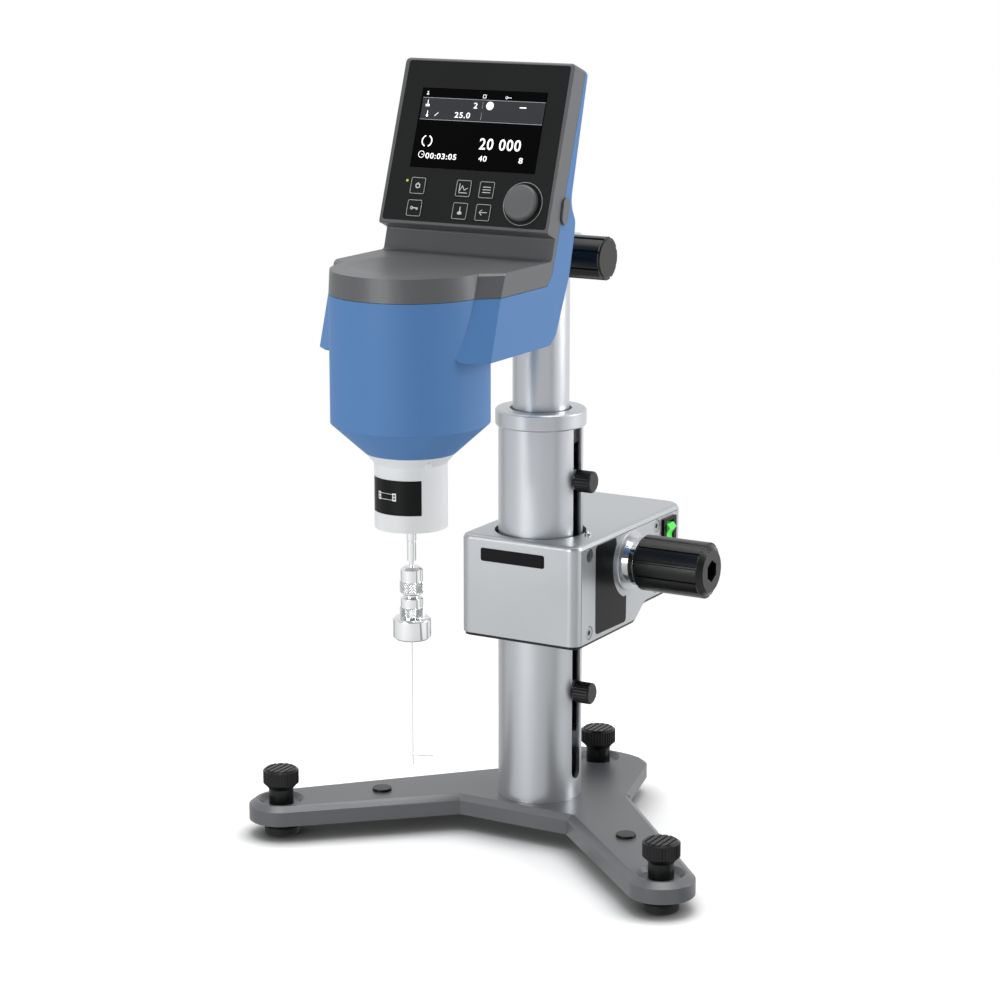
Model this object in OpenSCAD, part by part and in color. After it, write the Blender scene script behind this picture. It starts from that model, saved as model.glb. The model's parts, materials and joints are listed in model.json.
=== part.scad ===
// Rotational viscometer on a motorised lift stand. All sizes are in millimetres.
// The head hangs from the inner column tube, which the drive box carries up and down
// along the fixed outer tube by a pinion and a rack.

/* [Base casting] */
// Height of the top face of the base above the bench
base_top = 26; // [22:0.5:30]
// Thickness of the base casting
base_t = 14; // [12:0.5:17]
// Width of the bevel round the top edge
base_bevel = 4.8; // [3:0.1:6]
// Drop of the bevel round the top edge
base_bevel_drop = 3.6; // [2:0.1:5]
// Distance of the front feet left and right of the column axis
foot_x = 152.4; // [140:0.2:165]
// Distance of the front feet in front of the column axis
foot_y = 108; // [100:0.5:116]
// Distance of the rear foot behind the column axis
rear_foot_y = 90.7; // [86:0.1:94]
// Radius of the rounded end of a front leg
leg_end_r = 23.2; // [21:0.1:26]
// Direction of a front leg, below the sideways axis, in degrees
leg_angle = 44.3; // [42:0.1:46]
// Half width of the leg root on its front side
leg_root_front = 26.6; // [25:0.1:29]
// Half width of the leg root on its rear side
leg_root_rear = 31.5; // [30:0.1:33]
// Length from the foot back to the leg root
leg_run = 170; // [165:1:176]
// Distance of the front face of the hub from the column axis
hub_front = 39.8; // [38:0.1:42]
// Radius of the rear end of the base about the column axis
rear_end_r = 113; // [110:0.5:116]
// Radius of the two rounded rear corners
rear_corner_r = 12; // [9:0.5:14]
// Half width of the rear leg at its rounded corners
rear_half_w = 36.5; // [34:0.5:39]
// Half width of the rear leg at its root
rear_root_half_w = 58.5; // [56:0.5:60]
// Radius of the blanking caps on the front legs
cap_r = 7; // [6:0.1:8]
// Height of the blanking caps
cap_h = 2; // [1.5:0.1:3]
// Distance of the caps from the feet, along the leg
cap_run = 74; // [70:1:80]

/* [Levelling feet] */
// Radius of the foot knob
foot_knob_r = 12.8; // [12:0.1:13.5]
// Height of the top of the foot knob above the bench
foot_knob_top = 49; // [47:0.5:52]
// Height of the knurled part of the foot knob
foot_knob_h = 11; // [9:0.5:12]
// Radius of the threaded stem
foot_stem_r = 8.8; // [8:0.1:9.2]
// Radius of the foot pad
foot_pad_r = 12.4; // [11.5:0.1:13]
// Height of the foot pad
foot_pad_h = 8; // [7:0.5:9]
// Radius of the swivel ball end in the pad
foot_ball_r = 5; // [4.5:0.1:5.5]
// Radius of the shallow recess round each stem
foot_recess_r = 16.2; // [15.5:0.1:17]
// Depth of that recess
foot_recess_h = 3; // [2:0.5:4]

/* [Column] */
// Outer radius of the outer tube
outer_r = 30; // [29.6:0.1:30.4]
// Bore radius of the outer tube
outer_bore_r = 27.4; // [27.2:0.1:27.6]
// Height of the top of the outer tube above the bench
outer_top = 296.6; // [292:0.2:300]
// Depth of the outer tube in the base
outer_seat = 10; // [8:0.5:10.5]
// Width of the stop slot on the right side
slot_w = 11.8; // [11.4:0.1:12]
// Height of the lower end of that slot above the bench
slot_bottom = 40; // [38:0.5:42]
// Outer radius of the inner tube
inner_r = 20; // [19.8:0.1:20.2]
// Bore radius of the inner tube
inner_bore_r = 17; // [16:0.1:17.3]
// Height of the lower end of the inner tube above the bench
inner_bottom = 60; // [59:0.5:62]
// Height of the guide shoe at the lower end of the inner tube
shoe_h = 12; // [10:0.5:13]
// Outer radius of the collar on the outer tube
collar_r = 32.2; // [31.5:0.1:33]
// Height of the collar
collar_h = 12; // [11:0.1:13]
// Length of the collar spigot inside the outer tube
collar_spigot = 11; // [9:0.5:11.5]
// Outer radius of the guide bush in the collar
bush_r = 21.8; // [21.6:0.1:22.2]
// Radial running clearance of the sliding tubes
slide_gap = 0.05; // [0.03:0.01:0.1]

/* [Rack] */
// Tooth module of the rack and its pinion
rack_module = 1; // [1:0.05:1.05]
// Width of the rack
rack_w = 8; // [7.6:0.1:8.4]
// Distance of the rack pitch line from the column axis
rack_pitch_y = 31; // [30.8:0.05:31.1]
// Height of the lower end of the rack above the bench
rack_bottom = 52; // [46:1:60]

/* [Stops] */
// Height of the upper stop above the bench
upper_stop_z = 259; // [259:0.1:260]
// Height of the lower stop above the bench
lower_stop_z = 105; // [104:0.1:105]
// Radius of the stop knobs
stop_r = 7.75; // [7.2:0.05:7.8]
// Height of the outer end of the stop knobs from the column axis
stop_end_x = 42.6; // [42:0.1:43.5]
// Radius of the threaded stud of a stop
stop_stud_r = 3; // [2.5:0.1:3.4]
// Half size of the sliding nut behind the slot
stop_nut = 7.2; // [7:0.1:7.3]

/* [Drive box] */
// Left side of the box from the column axis
box_left = 44.5; // [42:0.5:47]
// Right side of the box from the column axis
box_right = 50; // [49.6:0.1:50.4]
// Front of the box from the column axis
box_front = 38; // [37:0.5:40]
// Rear of the box from the column axis
box_rear = 130; // [128:0.5:133]
// Height of the box top above the bench
box_top = 220.5; // [220.2:0.1:220.8]
// Height of the lower edge of the box above the bench
box_bottom = 148.8; // [148.2:0.1:149]
// Rise of the lower edge towards the rear
box_step = 10.7; // [8:0.1:12]
// Start of that rise behind the column axis
box_step_y = 51; // [48:0.5:54]
// Wall thickness of the box
box_wall = 3; // [2.8:0.1:3.2]
// Radius of the front vertical corners
box_front_r = 8; // [7:0.5:9]
// Radius of the rear vertical corners
box_rear_r = 13; // [10:0.5:15]
// Size of the rounded edge round the top
box_edge = 3.5; // [3:0.1:4]
// Radius of the opening in the box top round the tube
box_hole_r = 32.6; // [32.5:0.1:33]
// Thickness of the side cover plate
side_t = 3.2; // [3:0.1:3.4]
// Thickness of the bottom cover plate
bottom_t = 2.2; // [2:0.1:2.6]
// Radius of a cover screw head
screw_r = 4.6; // [4.2:0.1:4.8]

/* [Drive train] */
// Height of the pinion shaft above the bench
shaft_z = 195; // [194.6:0.1:195.4]
// Teeth of the rack pinion
pinion_teeth = 22; // [21:1:23]
// Teeth of the drive wheel
wheel_teeth = 40; // [39:1:40]
// Teeth of the motor pinion
motor_teeth = 16; // [16:1:17]
// Angle of the motor below the line behind the shaft, in degrees
motor_angle = 15; // [13:0.5:17]
// Radius of the pinion shaft
shaft_r = 5; // [4.6:0.1:5.4]
// Radius of the lift motor
motor_r = 14; // [12.5:0.1:14.5]
// Length of the lift motor
motor_len = 52; // [46:1:54]
// Radial running clearance of the shafts
shaft_gap = 0.05; // [0.03:0.01:0.1]
// Tooth thinning of each gear at the pitch circle
backlash = 0.12; // [0.1:0.01:0.16]

/* [Release knob] */
// Radius of the release knob
release_r = 20; // [19:0.1:21]
// Distance of the rear face of the release knob from the column axis
release_x0 = 61.3; // [61:0.1:63]
// Distance of the outer end of the release knob from the column axis
release_x1 = 114.8; // [112:0.2:117]
// Radius of the chrome flange behind the knob
flange_r = 17.3; // [16.8:0.1:18]

/* [Rocker switch] */
// Distance of the switch centre behind the column axis
switch_y = 102.5; // [100:0.5:103]
// Height of the switch centre above the bench
switch_z = 202; // [201:0.5:203]
// Width of the switch bezel
switch_w = 20.4; // [20:0.1:21]
// Height of the switch bezel
switch_h = 25; // [24.5:0.1:25.4]

/* [Head clamp] */
// Height of the extension rod above the bench
rod_z = 417; // [416:0.5:417.5]
// Radius of the extension rod
rod_r = 7; // [6:0.1:7.2]
// Half width of the clamp block
clamp_half = 22; // [21:0.5:22]
// Height of the clamp block
clamp_h = 27; // [26:0.5:29]
// Radius of the clamp knob
clamp_knob_r = 15; // [14:0.1:15.5]
// Distance of the outer end of the clamp knob from the column axis
clamp_knob_end = 52.4; // [50:0.2:55]
// Radius of the clamp screw
clamp_screw_r = 4; // [3.5:0.1:4.5]

/* [Head housing] */
// Distance of the spindle axis in front of the column axis
spindle_y = 174; // [172:0.5:176]
// Radius of the round part of the head
head_r = 52; // [51.5:0.1:52.5]
// Margin of the head beside the picture area of the screen
screen_margin = 17; // [16.5:0.1:17.5]
// Height of the lower end of the round part above the bench
head_cyl_bottom = 328.5; // [326:0.5:331]
// Height of the lower end of the housing cone above the bench
head_cone_bottom = 308.8; // [308:0.2:309.6]
// Radius of the lower end of the housing cone
head_cone_r = 30.3; // [30:0.1:31]
// Height of the parting line between the lower housing and the top cover
parting_z = 412.6; // [412:0.2:413.4]
// Gap at the parting line
parting_gap = 0.3; // [0.2:0.05:0.4]
// Height of the flat top of the cover above the bench
cover_top = 428; // [427.6:0.2:428.4]
// Wall thickness of the mouldings
head_wall = 3; // [2.6:0.1:3.2]
// Height of the underside of the shoulders above the bench
shoulder_z = 373; // [371:0.5:375]

/* [Display panel] */
// Lean of the panel from upright, in degrees
panel_tilt = 19.2; // [18.5:0.1:20]
// Distance of the screen centre in front of the column axis
panel_y = 86.6; // [86:0.1:87.2]
// Height of the screen centre above the bench
panel_z = 509; // [508:0.5:510]
// Panel edge above the screen centre
panel_up = 45.5; // [45:0.1:46]
// Panel edge below the screen centre
panel_down = 63.4; // [63:0.1:64]
// Margin of the head beside the panel, at the panel's top
panel_side_top = 3.15; // [2.9:0.05:4]
// Margin of the head beside the panel, at the panel's bottom
panel_side_bottom = 2.2; // [2:0.05:3]
// Thickness of the panel plate
panel_t = 2; // [1.6:0.1:2.4]
// Width of the picture area of the screen
screen_w = 95; // [90:0.5:100]
// Height of the picture area of the screen
screen_h = 53.9; // [50:0.1:56]
// Margin of the housing above the panel
bezel_up = 2.3; // [2:0.1:3]
// Margin of the housing below the panel
bezel_down = 2.5; // [2:0.1:3]
// Depth of the grey bezel behind the panel
bezel_depth = 15; // [14:0.1:15.4]

/* [Keys and menu knob] */
// Side of a square key
key_w = 11.3; // [10.5:0.1:11.6]
// Travel of a key
key_travel = 0.5; // [0.4:0.1:0.6]
// Gap round a key
key_gap = 0.25; // [0.2:0.05:0.35]
// Distance of the upper key row below the screen centre
key_row_1 = 39.7; // [39.5:0.1:40.2]
// Distance of the lower key row below the screen centre
key_row_2 = 54.9; // [54.5:0.1:55.2]
// Distance of the left key column from the middle
key_column_1 = -38.7; // [-39.5:0.1:-38]
// Distance of the middle key column from the middle
key_column_2 = -3.5; // [-4:0.1:-3]
// Distance of the right key column from the middle
key_column_3 = 14.2; // [13.8:0.1:14.6]
// Distance of the menu knob from the side of the head
menu_inset = 21.9; // [21.5:0.1:22.5]
// Distance of the menu knob below the screen centre
menu_down = 47.3; // [47:0.1:47.6]
// Radius of the menu knob
menu_r = 12; // [11:0.1:12.4]
// Height of the menu knob in front of the panel
menu_h = 5.4; // [4.8:0.1:6]

/* [Head mechanism] */
// Height of the top of the chassis plate above the bench
chassis_z = 402; // [401:0.5:402.5]
// Thickness of the chassis plate
chassis_t = 4; // [3:0.5:4.5]
// Width of the square drive motor
drive_motor_w = 42; // [40:0.5:43]
// Height of the drive motor
drive_motor_h = 21; // [19:0.5:21.5]
// Radius of the drive cage
cage_r = 22; // [21:0.1:23]
// Height of the drive cage
cage_h = 36; // [34:0.5:38]
// Radius of the encoder disc
disc_r = 13; // [12:0.1:14]
// Outer radius of the torsion spring
spring_r = 15.5; // [15:0.1:16]
// Turns of the torsion spring
spring_turns = 4; // [3:1:5]
// Height of the torsion spring band
spring_h = 4; // [3:0.1:5]

/* [Shaft and spindle] */
// Radius of the white shaft guard
guard_r = 24; // [23.5:0.1:24.5]
// Height of the lower end of the shaft guard above the bench
guard_bottom = 259; // [258:0.5:261]
// Radius of the measuring shaft
meas_r = 3.2; // [3:0.1:3.4]
// Height of the groove between the shaft and its lower sleeve
meas_sleeve_z = 249.2; // [248:0.2:250]
// Height of the shoulder below which the shaft is thin
meas_shoulder_z = 235.5; // [235:0.5:238]
// Outer radius of a ball bearing
bearing_r = 8; // [7.5:0.1:8.5]
// Width of a ball bearing
bearing_w = 5; // [4.5:0.1:5.5]
// Radius of the coupling nut
nut_r = 8; // [7.6:0.1:8.2]
// Height of the top of the coupling nut above the bench
nut_top = 231.5; // [230:0.5:233]
// Height of the coupling nut
nut_h = 18.5; // [17:0.5:19]
// Radius of the spindle chuck
chuck_r = 8; // [7.6:0.1:8.2]
// Height of the top of the spindle chuck above the bench
chuck_top = 211; // [210:0.5:211.5]
// Height of the spindle chuck above the weight
chuck_h = 13.8; // [13:0.2:14.4]
// Radius of the spindle weight
weight_r = 12.6; // [12:0.1:13]
// Height of the spindle weight
weight_h = 14.3; // [13:0.1:15]
// Radius of the spindle rod
t_rod_r = 0.5; // [0.4:0.05:0.7]
// Height of the lower end of the spindle rod above the bench
t_rod_bottom = 95.5; // [95.2:0.1:100]
// Height of the crossbar above the rod end
t_bar_rise = 6.5; // [4:0.5:7]
// Length of the crossbar
t_bar_len = 27; // [20:0.5:36]

/* [Hidden] */
$fn = 96;
// Angle step of computed arcs, in degrees
arc_step = 7.5;
// Small overlap that keeps cuts clean
cut = 0.5;
// Gap between flat faces of neighbouring pieces
seat = 0.3;
// Thickness of the thin slices that hulls span
slice = 0.01;

// Derived places
base_bottom = base_top - base_t;
head_half_w = screen_w / 2 + screen_margin;
panel_half_top = head_half_w - panel_side_top;
panel_half_bottom = head_half_w - panel_side_bottom;
menu_x = head_half_w - menu_inset;
frame_y = (spindle_y + head_r - box_rear) / 2;
pinion_r = rack_module * pinion_teeth / 2;
shaft_y = rack_pitch_y + pinion_r;
wheel_r = rack_module * wheel_teeth / 2;
motor_pinion_r = rack_module * motor_teeth / 2;
gear_centres = wheel_r + motor_pinion_r;
motor_y = shaft_y + gear_centres * cos(motor_angle);
motor_z = shaft_z - gear_centres * sin(motor_angle);
collar_bottom = outer_top;
collar_top = collar_bottom + collar_h;
clamp_bottom = rod_z - clamp_h / 2;
inner_top = clamp_bottom;
box_inner_top = box_top - box_wall;
cover_x = box_right - side_t;
limit_x = 38;
limit_r = 2.2;
wheel_x = 25;
wheel_w = 6;
chassis_bottom = chassis_z - chassis_t;
cage_top = chassis_bottom - 8;
cage_bottom = cage_top - cage_h;
guard_wall = head_wall;
seam = parting_gap / 2;

// Vector helpers
function unit(v) = v / norm(v);
function left_of(v) = [-v.y, v.x];
function wrap(a) = a > 180 ? a - 360 : a < -180 ? a + 360 : a;

// Arc points that round corner b, between neighbours a and c
function corner_arc(a, b, c, r) =
    r <= 0 ? [b] :
    let (u = unit(a - b), v = unit(c - b), half = acos(u * v) / 2)
    let (centre = b + unit(u + v) * r / sin(half))
    let (s = b + u * r / tan(half) - centre, e = b + v * r / tan(half) - centre)
    let (a0 = atan2(s.y, s.x), sweep = wrap(atan2(e.y, e.x) - a0))
    let (n = max(2, ceil(abs(sweep) / arc_step)))
    [for (i = [0:n]) centre + r * [cos(a0 + sweep * i / n), sin(a0 + sweep * i / n)]];
function pick(r, i) = is_list(r) ? r[i] : r;
// Outline with every corner rounded by its own radius
function rounded(pts, r) =
    let (n = len(pts))
    [for (i = [0:n - 1])
        each corner_arc(pts[(i + n - 1) % n], pts[i], pts[(i + 1) % n], pick(r, i))];
// Outline of counter-clockwise points moved inwards by d
function inset(pts, d) =
    let (n = len(pts))
    [for (i = [0:n - 1])
        let (p = left_of(unit(pts[i] - pts[(i + n - 1) % n])))
        let (q = left_of(unit(pts[(i + 1) % n] - pts[i])))
        pts[i] + (p + q) * d / (1 + p * q)];
function box_pts(x0, y0, x1, y1) = [[x0, y0], [x1, y0], [x1, y1], [x0, y1]];
function mirrored(pts) = [for (i = [len(pts) - 1:-1:0]) [-pts[i].x, pts[i].y]];

// Involute spur gear outline, first tooth centred on angle 0
gear_addendum = 1;
gear_dedendum = 1.25;
pressure = 20;
flank_steps = 4;
function roll(rb, r) = r <= rb ? 0 : sqrt(r * r / rb / rb - 1) * 180 / PI - acos(rb / r);
function tooth_half(n, m, r) =
    let (rp = m * n / 2, rb = rp * cos(pressure))
    90 / n - backlash / rp * 90 / PI + roll(rb, rp) - roll(rb, r);
function gear_pts(n, m) =
    let (rp = m * n / 2, ra = rp + gear_addendum * m, rf = rp - gear_dedendum * m)
    let (rb = rp * cos(pressure), r0 = max(rb, rf))
    let (rs = [rf, for (i = [0:flank_steps]) r0 + (ra - r0) * i / flank_steps])
    [for (k = [0:n - 1]) each concat(
        [for (i = [0:len(rs) - 1]) let (t = k * 360 / n - tooth_half(n, m, rs[i]))
            rs[i] * [cos(t), sin(t)]],
        [for (i = [len(rs) - 1:-1:0]) let (t = k * 360 / n + tooth_half(n, m, rs[i]))
            rs[i] * [cos(t), sin(t)]])];

// Round outline with raised ribs and grooves between them
function ribbed_pts(r, depth, n, groove) =
    [for (k = [0:n - 1]) each [
        for (s = [-1, -0.5, 0, 0.5, 1]) let (a = k * 360 / n + s * (180 / n - groove))
            r * [cos(a), sin(a)],
        let (a = (k + 0.5) * 360 / n - groove / 2) (r - depth) * [cos(a), sin(a)],
        let (a = (k + 0.5) * 360 / n + groove / 2) (r - depth) * [cos(a), sin(a)]]];
// Knurled outline with fine triangular ridges
function knurl_pts(r, depth, n) =
    [for (k = [0:2 * n - 1]) (r - depth * (k % 2)) * [cos(k * 180 / n), sin(k * 180 / n)]];

// Places a drawing so that its Z axis runs along +X and its X axis along +Y
module along_x() {
    rotate([90, 0, 90]) children();
}
// Places a drawing so that its Z axis runs along +Y
module along_y() {
    rotate([-90, 0, 0]) children();
}
// Side view outline, points given as distance along Y and height, width along X
module side_extrude(x0, x1, pts) {
    translate([x0, 0, 0])
        along_x() linear_extrude(x1 - x0) polygon(pts);
}
module ring(r_out, r_in, h) {
    difference() {
        cylinder(r = r_out, h = h);
        translate([0, 0, -cut]) cylinder(r = r_in, h = h + 2 * cut);
    }
}
// Frame of the display panel: X across, Y up the slope, Z out of the panel
module on_panel() {
    translate([0, -panel_y, panel_z])
        rotate([90 - panel_tilt, 0, 0]) children();
}
module at_spindle() {
    translate([0, -spindle_y, 0]) children();
}
// Moves the column frame to the middle of the object's footprint
module placed() {
    translate([0, frame_y, 0]) children();
}

// Base casting
leg_dir = [cos(leg_angle), -sin(leg_angle)];
leg_left = [sin(leg_angle), cos(leg_angle)];
function leg_root(w) = [foot_x, -foot_y] - leg_run * leg_dir + w * leg_left;
module base_leg() {
    end = [foot_x, -foot_y];
    root = [leg_root(-leg_root_front), leg_root(leg_root_rear)];
    top_root = [root[0] + base_bevel * leg_left, root[1] - base_bevel * leg_left];
    low_h = base_t - base_bevel_drop;
    hull() {
        translate([end.x, end.y, base_bottom]) cylinder(r = leg_end_r, h = low_h, $fn = 64);
        translate([0, 0, base_bottom])
            linear_extrude(low_h) polygon([root[0], root[1], [0, 0]]);
        translate([end.x, end.y, base_top - slice])
            cylinder(r = leg_end_r - base_bevel, h = slice, $fn = 64);
        translate([0, 0, base_top - slice])
            linear_extrude(slice) polygon([top_root[0], top_root[1], [base_bevel, base_bevel]]);
    }
}
module base_hub() {
    // The sides lie inside the legs, so only the front face shows
    side = rear_root_half_w;
    pts = box_pts(-side, -hub_front, side, rear_foot_y / 3);
    hull() {
        translate([0, 0, base_bottom])
            linear_extrude(base_t - base_bevel_drop) polygon(pts);
        translate([0, 0, base_top - slice])
            linear_extrude(slice) polygon(inset(pts, base_bevel));
    }
}
module rear_outline(d) {
    for (s = [-1, 1])
        translate([s * (rear_half_w - rear_corner_r), rear_end_r - rear_corner_r - 4])
            circle(r = rear_corner_r - d, $fn = 32);
    intersection() {
        circle(r = rear_end_r - d, $fn = 120);
        translate([-rear_half_w / 2, rear_foot_y]) square([rear_half_w, rear_end_r]);
    }
    translate([d - rear_root_half_w, 10]) square([2 * (rear_root_half_w - d), 5]);
}
module base_rear() {
    hull() {
        translate([0, 0, base_bottom])
            linear_extrude(base_t - base_bevel_drop) rear_outline(0);
        translate([0, 0, base_top - slice]) linear_extrude(slice) rear_outline(base_bevel);
    }
}
foot_places = [[-foot_x, -foot_y], [foot_x, -foot_y], [0, rear_foot_y]];
cap_place = [foot_x, -foot_y] - cap_run * leg_dir;
cap_stem_r = 4;
cap_stem_h = 6;
module base() {
    color("#6d6f72") difference() {
        union() {
            base_leg();
            mirror([1, 0, 0]) base_leg();
            base_hub();
            base_rear();
        }
        translate([0, 0, base_top - outer_seat]) cylinder(r = outer_r, h = outer_seat + cut);
        for (p = foot_places) translate([p.x, p.y, 0]) {
            cylinder(r = foot_stem_r + shaft_gap, h = base_top + cut);
            translate([0, 0, base_top - foot_recess_h])
                cylinder(r1 = foot_recess_r - foot_recess_h, r2 = foot_recess_r, h = foot_recess_h);
        }
        for (s = [-1, 1]) translate([s * cap_place.x, cap_place.y, base_top - cap_stem_h])
            cylinder(r = cap_stem_r, h = cap_stem_h + cut);
    }
}
module leg_caps() {
    color("#222325") for (s = [-1, 1]) translate([s * cap_place.x, cap_place.y, base_top]) {
        cylinder(r = cap_r, h = cap_h);
        translate([0, 0, -cap_stem_h]) cylinder(r = cap_stem_r - shaft_gap, h = cap_stem_h);
    }
}

// Levelling feet
pad_socket = 4.5;
module foot_screw(p) {
    knob_bottom = foot_knob_top - foot_knob_h;
    cone_h = foot_knob_r - foot_stem_r;
    chamfer = 1.5;
    color("#26282a") translate([p.x, p.y, 0]) difference() {
        union() {
            translate([0, 0, knob_bottom])
                linear_extrude(foot_knob_h - chamfer) polygon(knurl_pts(foot_knob_r, 0.5, 40));
            translate([0, 0, foot_knob_top - chamfer])
                cylinder(r1 = foot_knob_r - 0.6, r2 = foot_knob_r - 0.6 - chamfer, h = chamfer);
            translate([0, 0, knob_bottom - cone_h])
                cylinder(r1 = foot_stem_r, r2 = foot_knob_r - 0.6, h = cone_h);
            translate([0, 0, foot_pad_h + 1])
                cylinder(r = foot_stem_r, h = knob_bottom - foot_pad_h - 1);
            translate([0, 0, foot_pad_h - pad_socket + seat])
                cylinder(r = foot_ball_r, h = pad_socket + 1);
        }
        for (i = [-2:2]) translate([i * 4 - 0.6, -foot_knob_r, foot_knob_top - 0.8])
            cube([1.2, 2 * foot_knob_r, 1 + cut]);
    }
}
module foot_pad(p) {
    chamfer = 1.2;
    color("#1c1d1e") translate([p.x, p.y, 0]) difference() {
        union() {
            cylinder(r1 = foot_pad_r - chamfer, r2 = foot_pad_r, h = chamfer);
            translate([0, 0, chamfer]) cylinder(r = foot_pad_r, h = foot_pad_h - 2 - chamfer);
            translate([0, 0, foot_pad_h - 2]) cylinder(r1 = foot_pad_r, r2 = foot_pad_r - 2, h = 2);
        }
        translate([0, 0, foot_pad_h - pad_socket])
            cylinder(r = foot_ball_r + shaft_gap, h = pad_socket + cut);
    }
}

// Column
module outer_tube() {
    slot_r = slot_w / 2;
    color("#c0c4c8") difference() {
        translate([0, 0, base_top - outer_seat])
            ring(outer_r, outer_bore_r, outer_top - base_top + outer_seat);
        translate([outer_bore_r - 4, -slot_r, slot_bottom + slot_r])
            cube([outer_r, slot_w, outer_top]);
        translate([outer_bore_r - 4, 0, slot_bottom + slot_r])
            along_x() cylinder(r = slot_r, h = outer_r);
        translate([-rack_w / 2, outer_bore_r - 2, rack_bottom])
            cube([rack_w, outer_r, rack_top - rack_bottom]);
    }
}
rack_top = outer_top - collar_spigot - 1;
rack_back = outer_bore_r + 0.1;
rack_pitch = PI * rack_module;
// Rack teeth: the pinion has a tooth on the line to the rack, so the rack has a gap there
function rack_tooth(z) =
    let (h = rack_pitch / 4 - backlash / 2, t = tan(pressure))
    let (tip = gear_addendum * rack_module, root = gear_dedendum * rack_module)
    [[rack_pitch_y - root, z - h - root * t], [rack_pitch_y + tip, z - h + tip * t],
     [rack_pitch_y + tip, z + h - tip * t], [rack_pitch_y - root, z + h + root * t]];
module rack() {
    first = ceil((rack_bottom + rack_pitch - shaft_z) / rack_pitch);
    last = floor((rack_top - rack_pitch - shaft_z) / rack_pitch);
    teeth = [for (k = [first:last]) each rack_tooth(shaft_z + (k + 0.5) * rack_pitch)];
    root_y = rack_pitch_y - gear_dedendum * rack_module;
    color("#8d9094") side_extrude(-rack_w / 2, rack_w / 2,
        concat([[rack_back, rack_bottom], [root_y, rack_bottom]], teeth,
            [[root_y, rack_top], [rack_back, rack_top]]));
}
module collar() {
    bevel = 1.2;
    color("#b9bcc0") difference() {
        union() {
            translate([0, 0, collar_bottom]) cylinder(r1 = collar_r - 1, r2 = collar_r, h = 1);
            translate([0, 0, collar_bottom + 1])
                cylinder(r = collar_r, h = collar_h - bevel - 1);
            translate([0, 0, collar_top - bevel])
                cylinder(r1 = collar_r, r2 = collar_r - bevel, h = bevel);
            translate([0, 0, collar_bottom - collar_spigot])
                cylinder(r = outer_bore_r - slide_gap, h = collar_spigot);
        }
        translate([0, 0, collar_bottom - collar_spigot - cut])
            cylinder(r = bush_r, h = collar_h + collar_spigot + 2 * cut);
    }
}
module guide_bush() {
    bush_h = collar_h + collar_spigot - 1;
    color("#2b2c2e") translate([0, 0, collar_bottom - collar_spigot]) difference() {
        cylinder(r = bush_r - slide_gap, h = bush_h);
        translate([0, 0, -cut]) cylinder(r = inner_r + slide_gap, h = bush_h + 2 * cut);
        translate([0, 0, bush_h - 1.2])
            cylinder(r1 = inner_r + slide_gap, r2 = inner_r + 0.9, h = 1.21);
    }
}
module inner_tube() {
    color("#c6c9cc") difference() {
        union() {
            translate([0, 0, inner_bottom]) cylinder(r = inner_r, h = inner_top - inner_bottom);
            translate([0, 0, inner_bottom]) difference() {
                cylinder(r = outer_bore_r - slide_gap, h = shoe_h);
                translate([inner_r, -stop_nut - 2.5, -cut])
                    cube([inner_r, 2 * stop_nut + 5, shoe_h + 2 * cut]);
            }
        }
        translate([0, 0, inner_bottom - cut]) cylinder(r = inner_bore_r, h = inner_top);
        translate([0, 0, link_z]) along_x() cylinder(r = link_screw_r, h = outer_r);
    }
}

// Stops: a nut behind the slot with its stud, and the knurled knob on the stud
nut_x0 = inner_r + 1.2;
nut_x1 = outer_bore_r - 1.3;
knob_x0 = outer_r + seat;
module stop(z) {
    color("#8d9094") translate([0, 0, z]) {
        translate([nut_x0, -stop_nut, -stop_nut])
            cube([nut_x1 - nut_x0, 2 * stop_nut, 2 * stop_nut]);
        translate([nut_x0, 0, 0]) along_x() cylinder(r = stop_stud_r, h = stop_end_x - 3 - nut_x0);
    }
}
module stop_knob(z) {
    len = stop_end_x - knob_x0;
    chamfer = 0.8;
    color("#242527") translate([knob_x0, 0, z]) along_x() difference() {
        union() {
            linear_extrude(len - chamfer) polygon(knurl_pts(stop_r, 0.35, 28));
            translate([0, 0, len - chamfer])
                cylinder(r1 = stop_r - 0.45, r2 = stop_r - chamfer - 0.45, h = chamfer);
        }
        translate([0, 0, -cut]) cylinder(r = stop_stud_r + shaft_gap, h = len - 2.5 + cut);
    }
}

// Drive box
function box_outline(d) = rounded(
    box_pts(d - box_left, d - box_front, box_right - d, box_rear - d),
    [box_front_r - d, box_front_r - d, box_rear_r - d, box_rear_r - d]);
step_run = 15;
step_round = 10;
// Lower edge of the box in side view, moved up by d, between y0 and y1
function box_floor(d, y0, y1) =
    let (pts = [[y0, box_bottom + d], [box_step_y, box_bottom + d],
        [box_step_y + step_run, box_bottom + box_step + d],
        [y1, box_bottom + box_step + d]])
    concat([pts[0]], corner_arc(pts[0], pts[1], pts[2], step_round),
        corner_arc(pts[1], pts[2], pts[3], step_round), [pts[3]]);
module below_floor(d) {
    side_extrude(-box_right - 30, box_right + 30,
        concat(box_floor(d, -box_front - 20, box_rear + 20),
            [[box_rear + 20, 0], [-box_front - 20, 0]]));
}
cover_front = 31;
cover_rear = box_rear - box_rear_r;
cover_top_z = box_top - box_edge - 0.4;
cover_gap = 0.35;
box_inner_x = cover_x - cover_gap - box_wall;
rim = 8;
window_pts = [
    [24, box_bottom + rim], [box_step_y, box_bottom + rim],
    [box_step_y + step_run, box_bottom + box_step + rim],
    [cover_rear - rim, box_bottom + box_step + rim],
    [cover_rear - rim, cover_top_z - rim], [24, cover_top_z - rim]];
function switch_pts(d) = box_pts(
    switch_y - switch_w / 2 + 1 - d, switch_z - switch_h / 2 + 1 - d,
    switch_y + switch_w / 2 - 1 + d, switch_z + switch_h / 2 - 1 + d);
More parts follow.
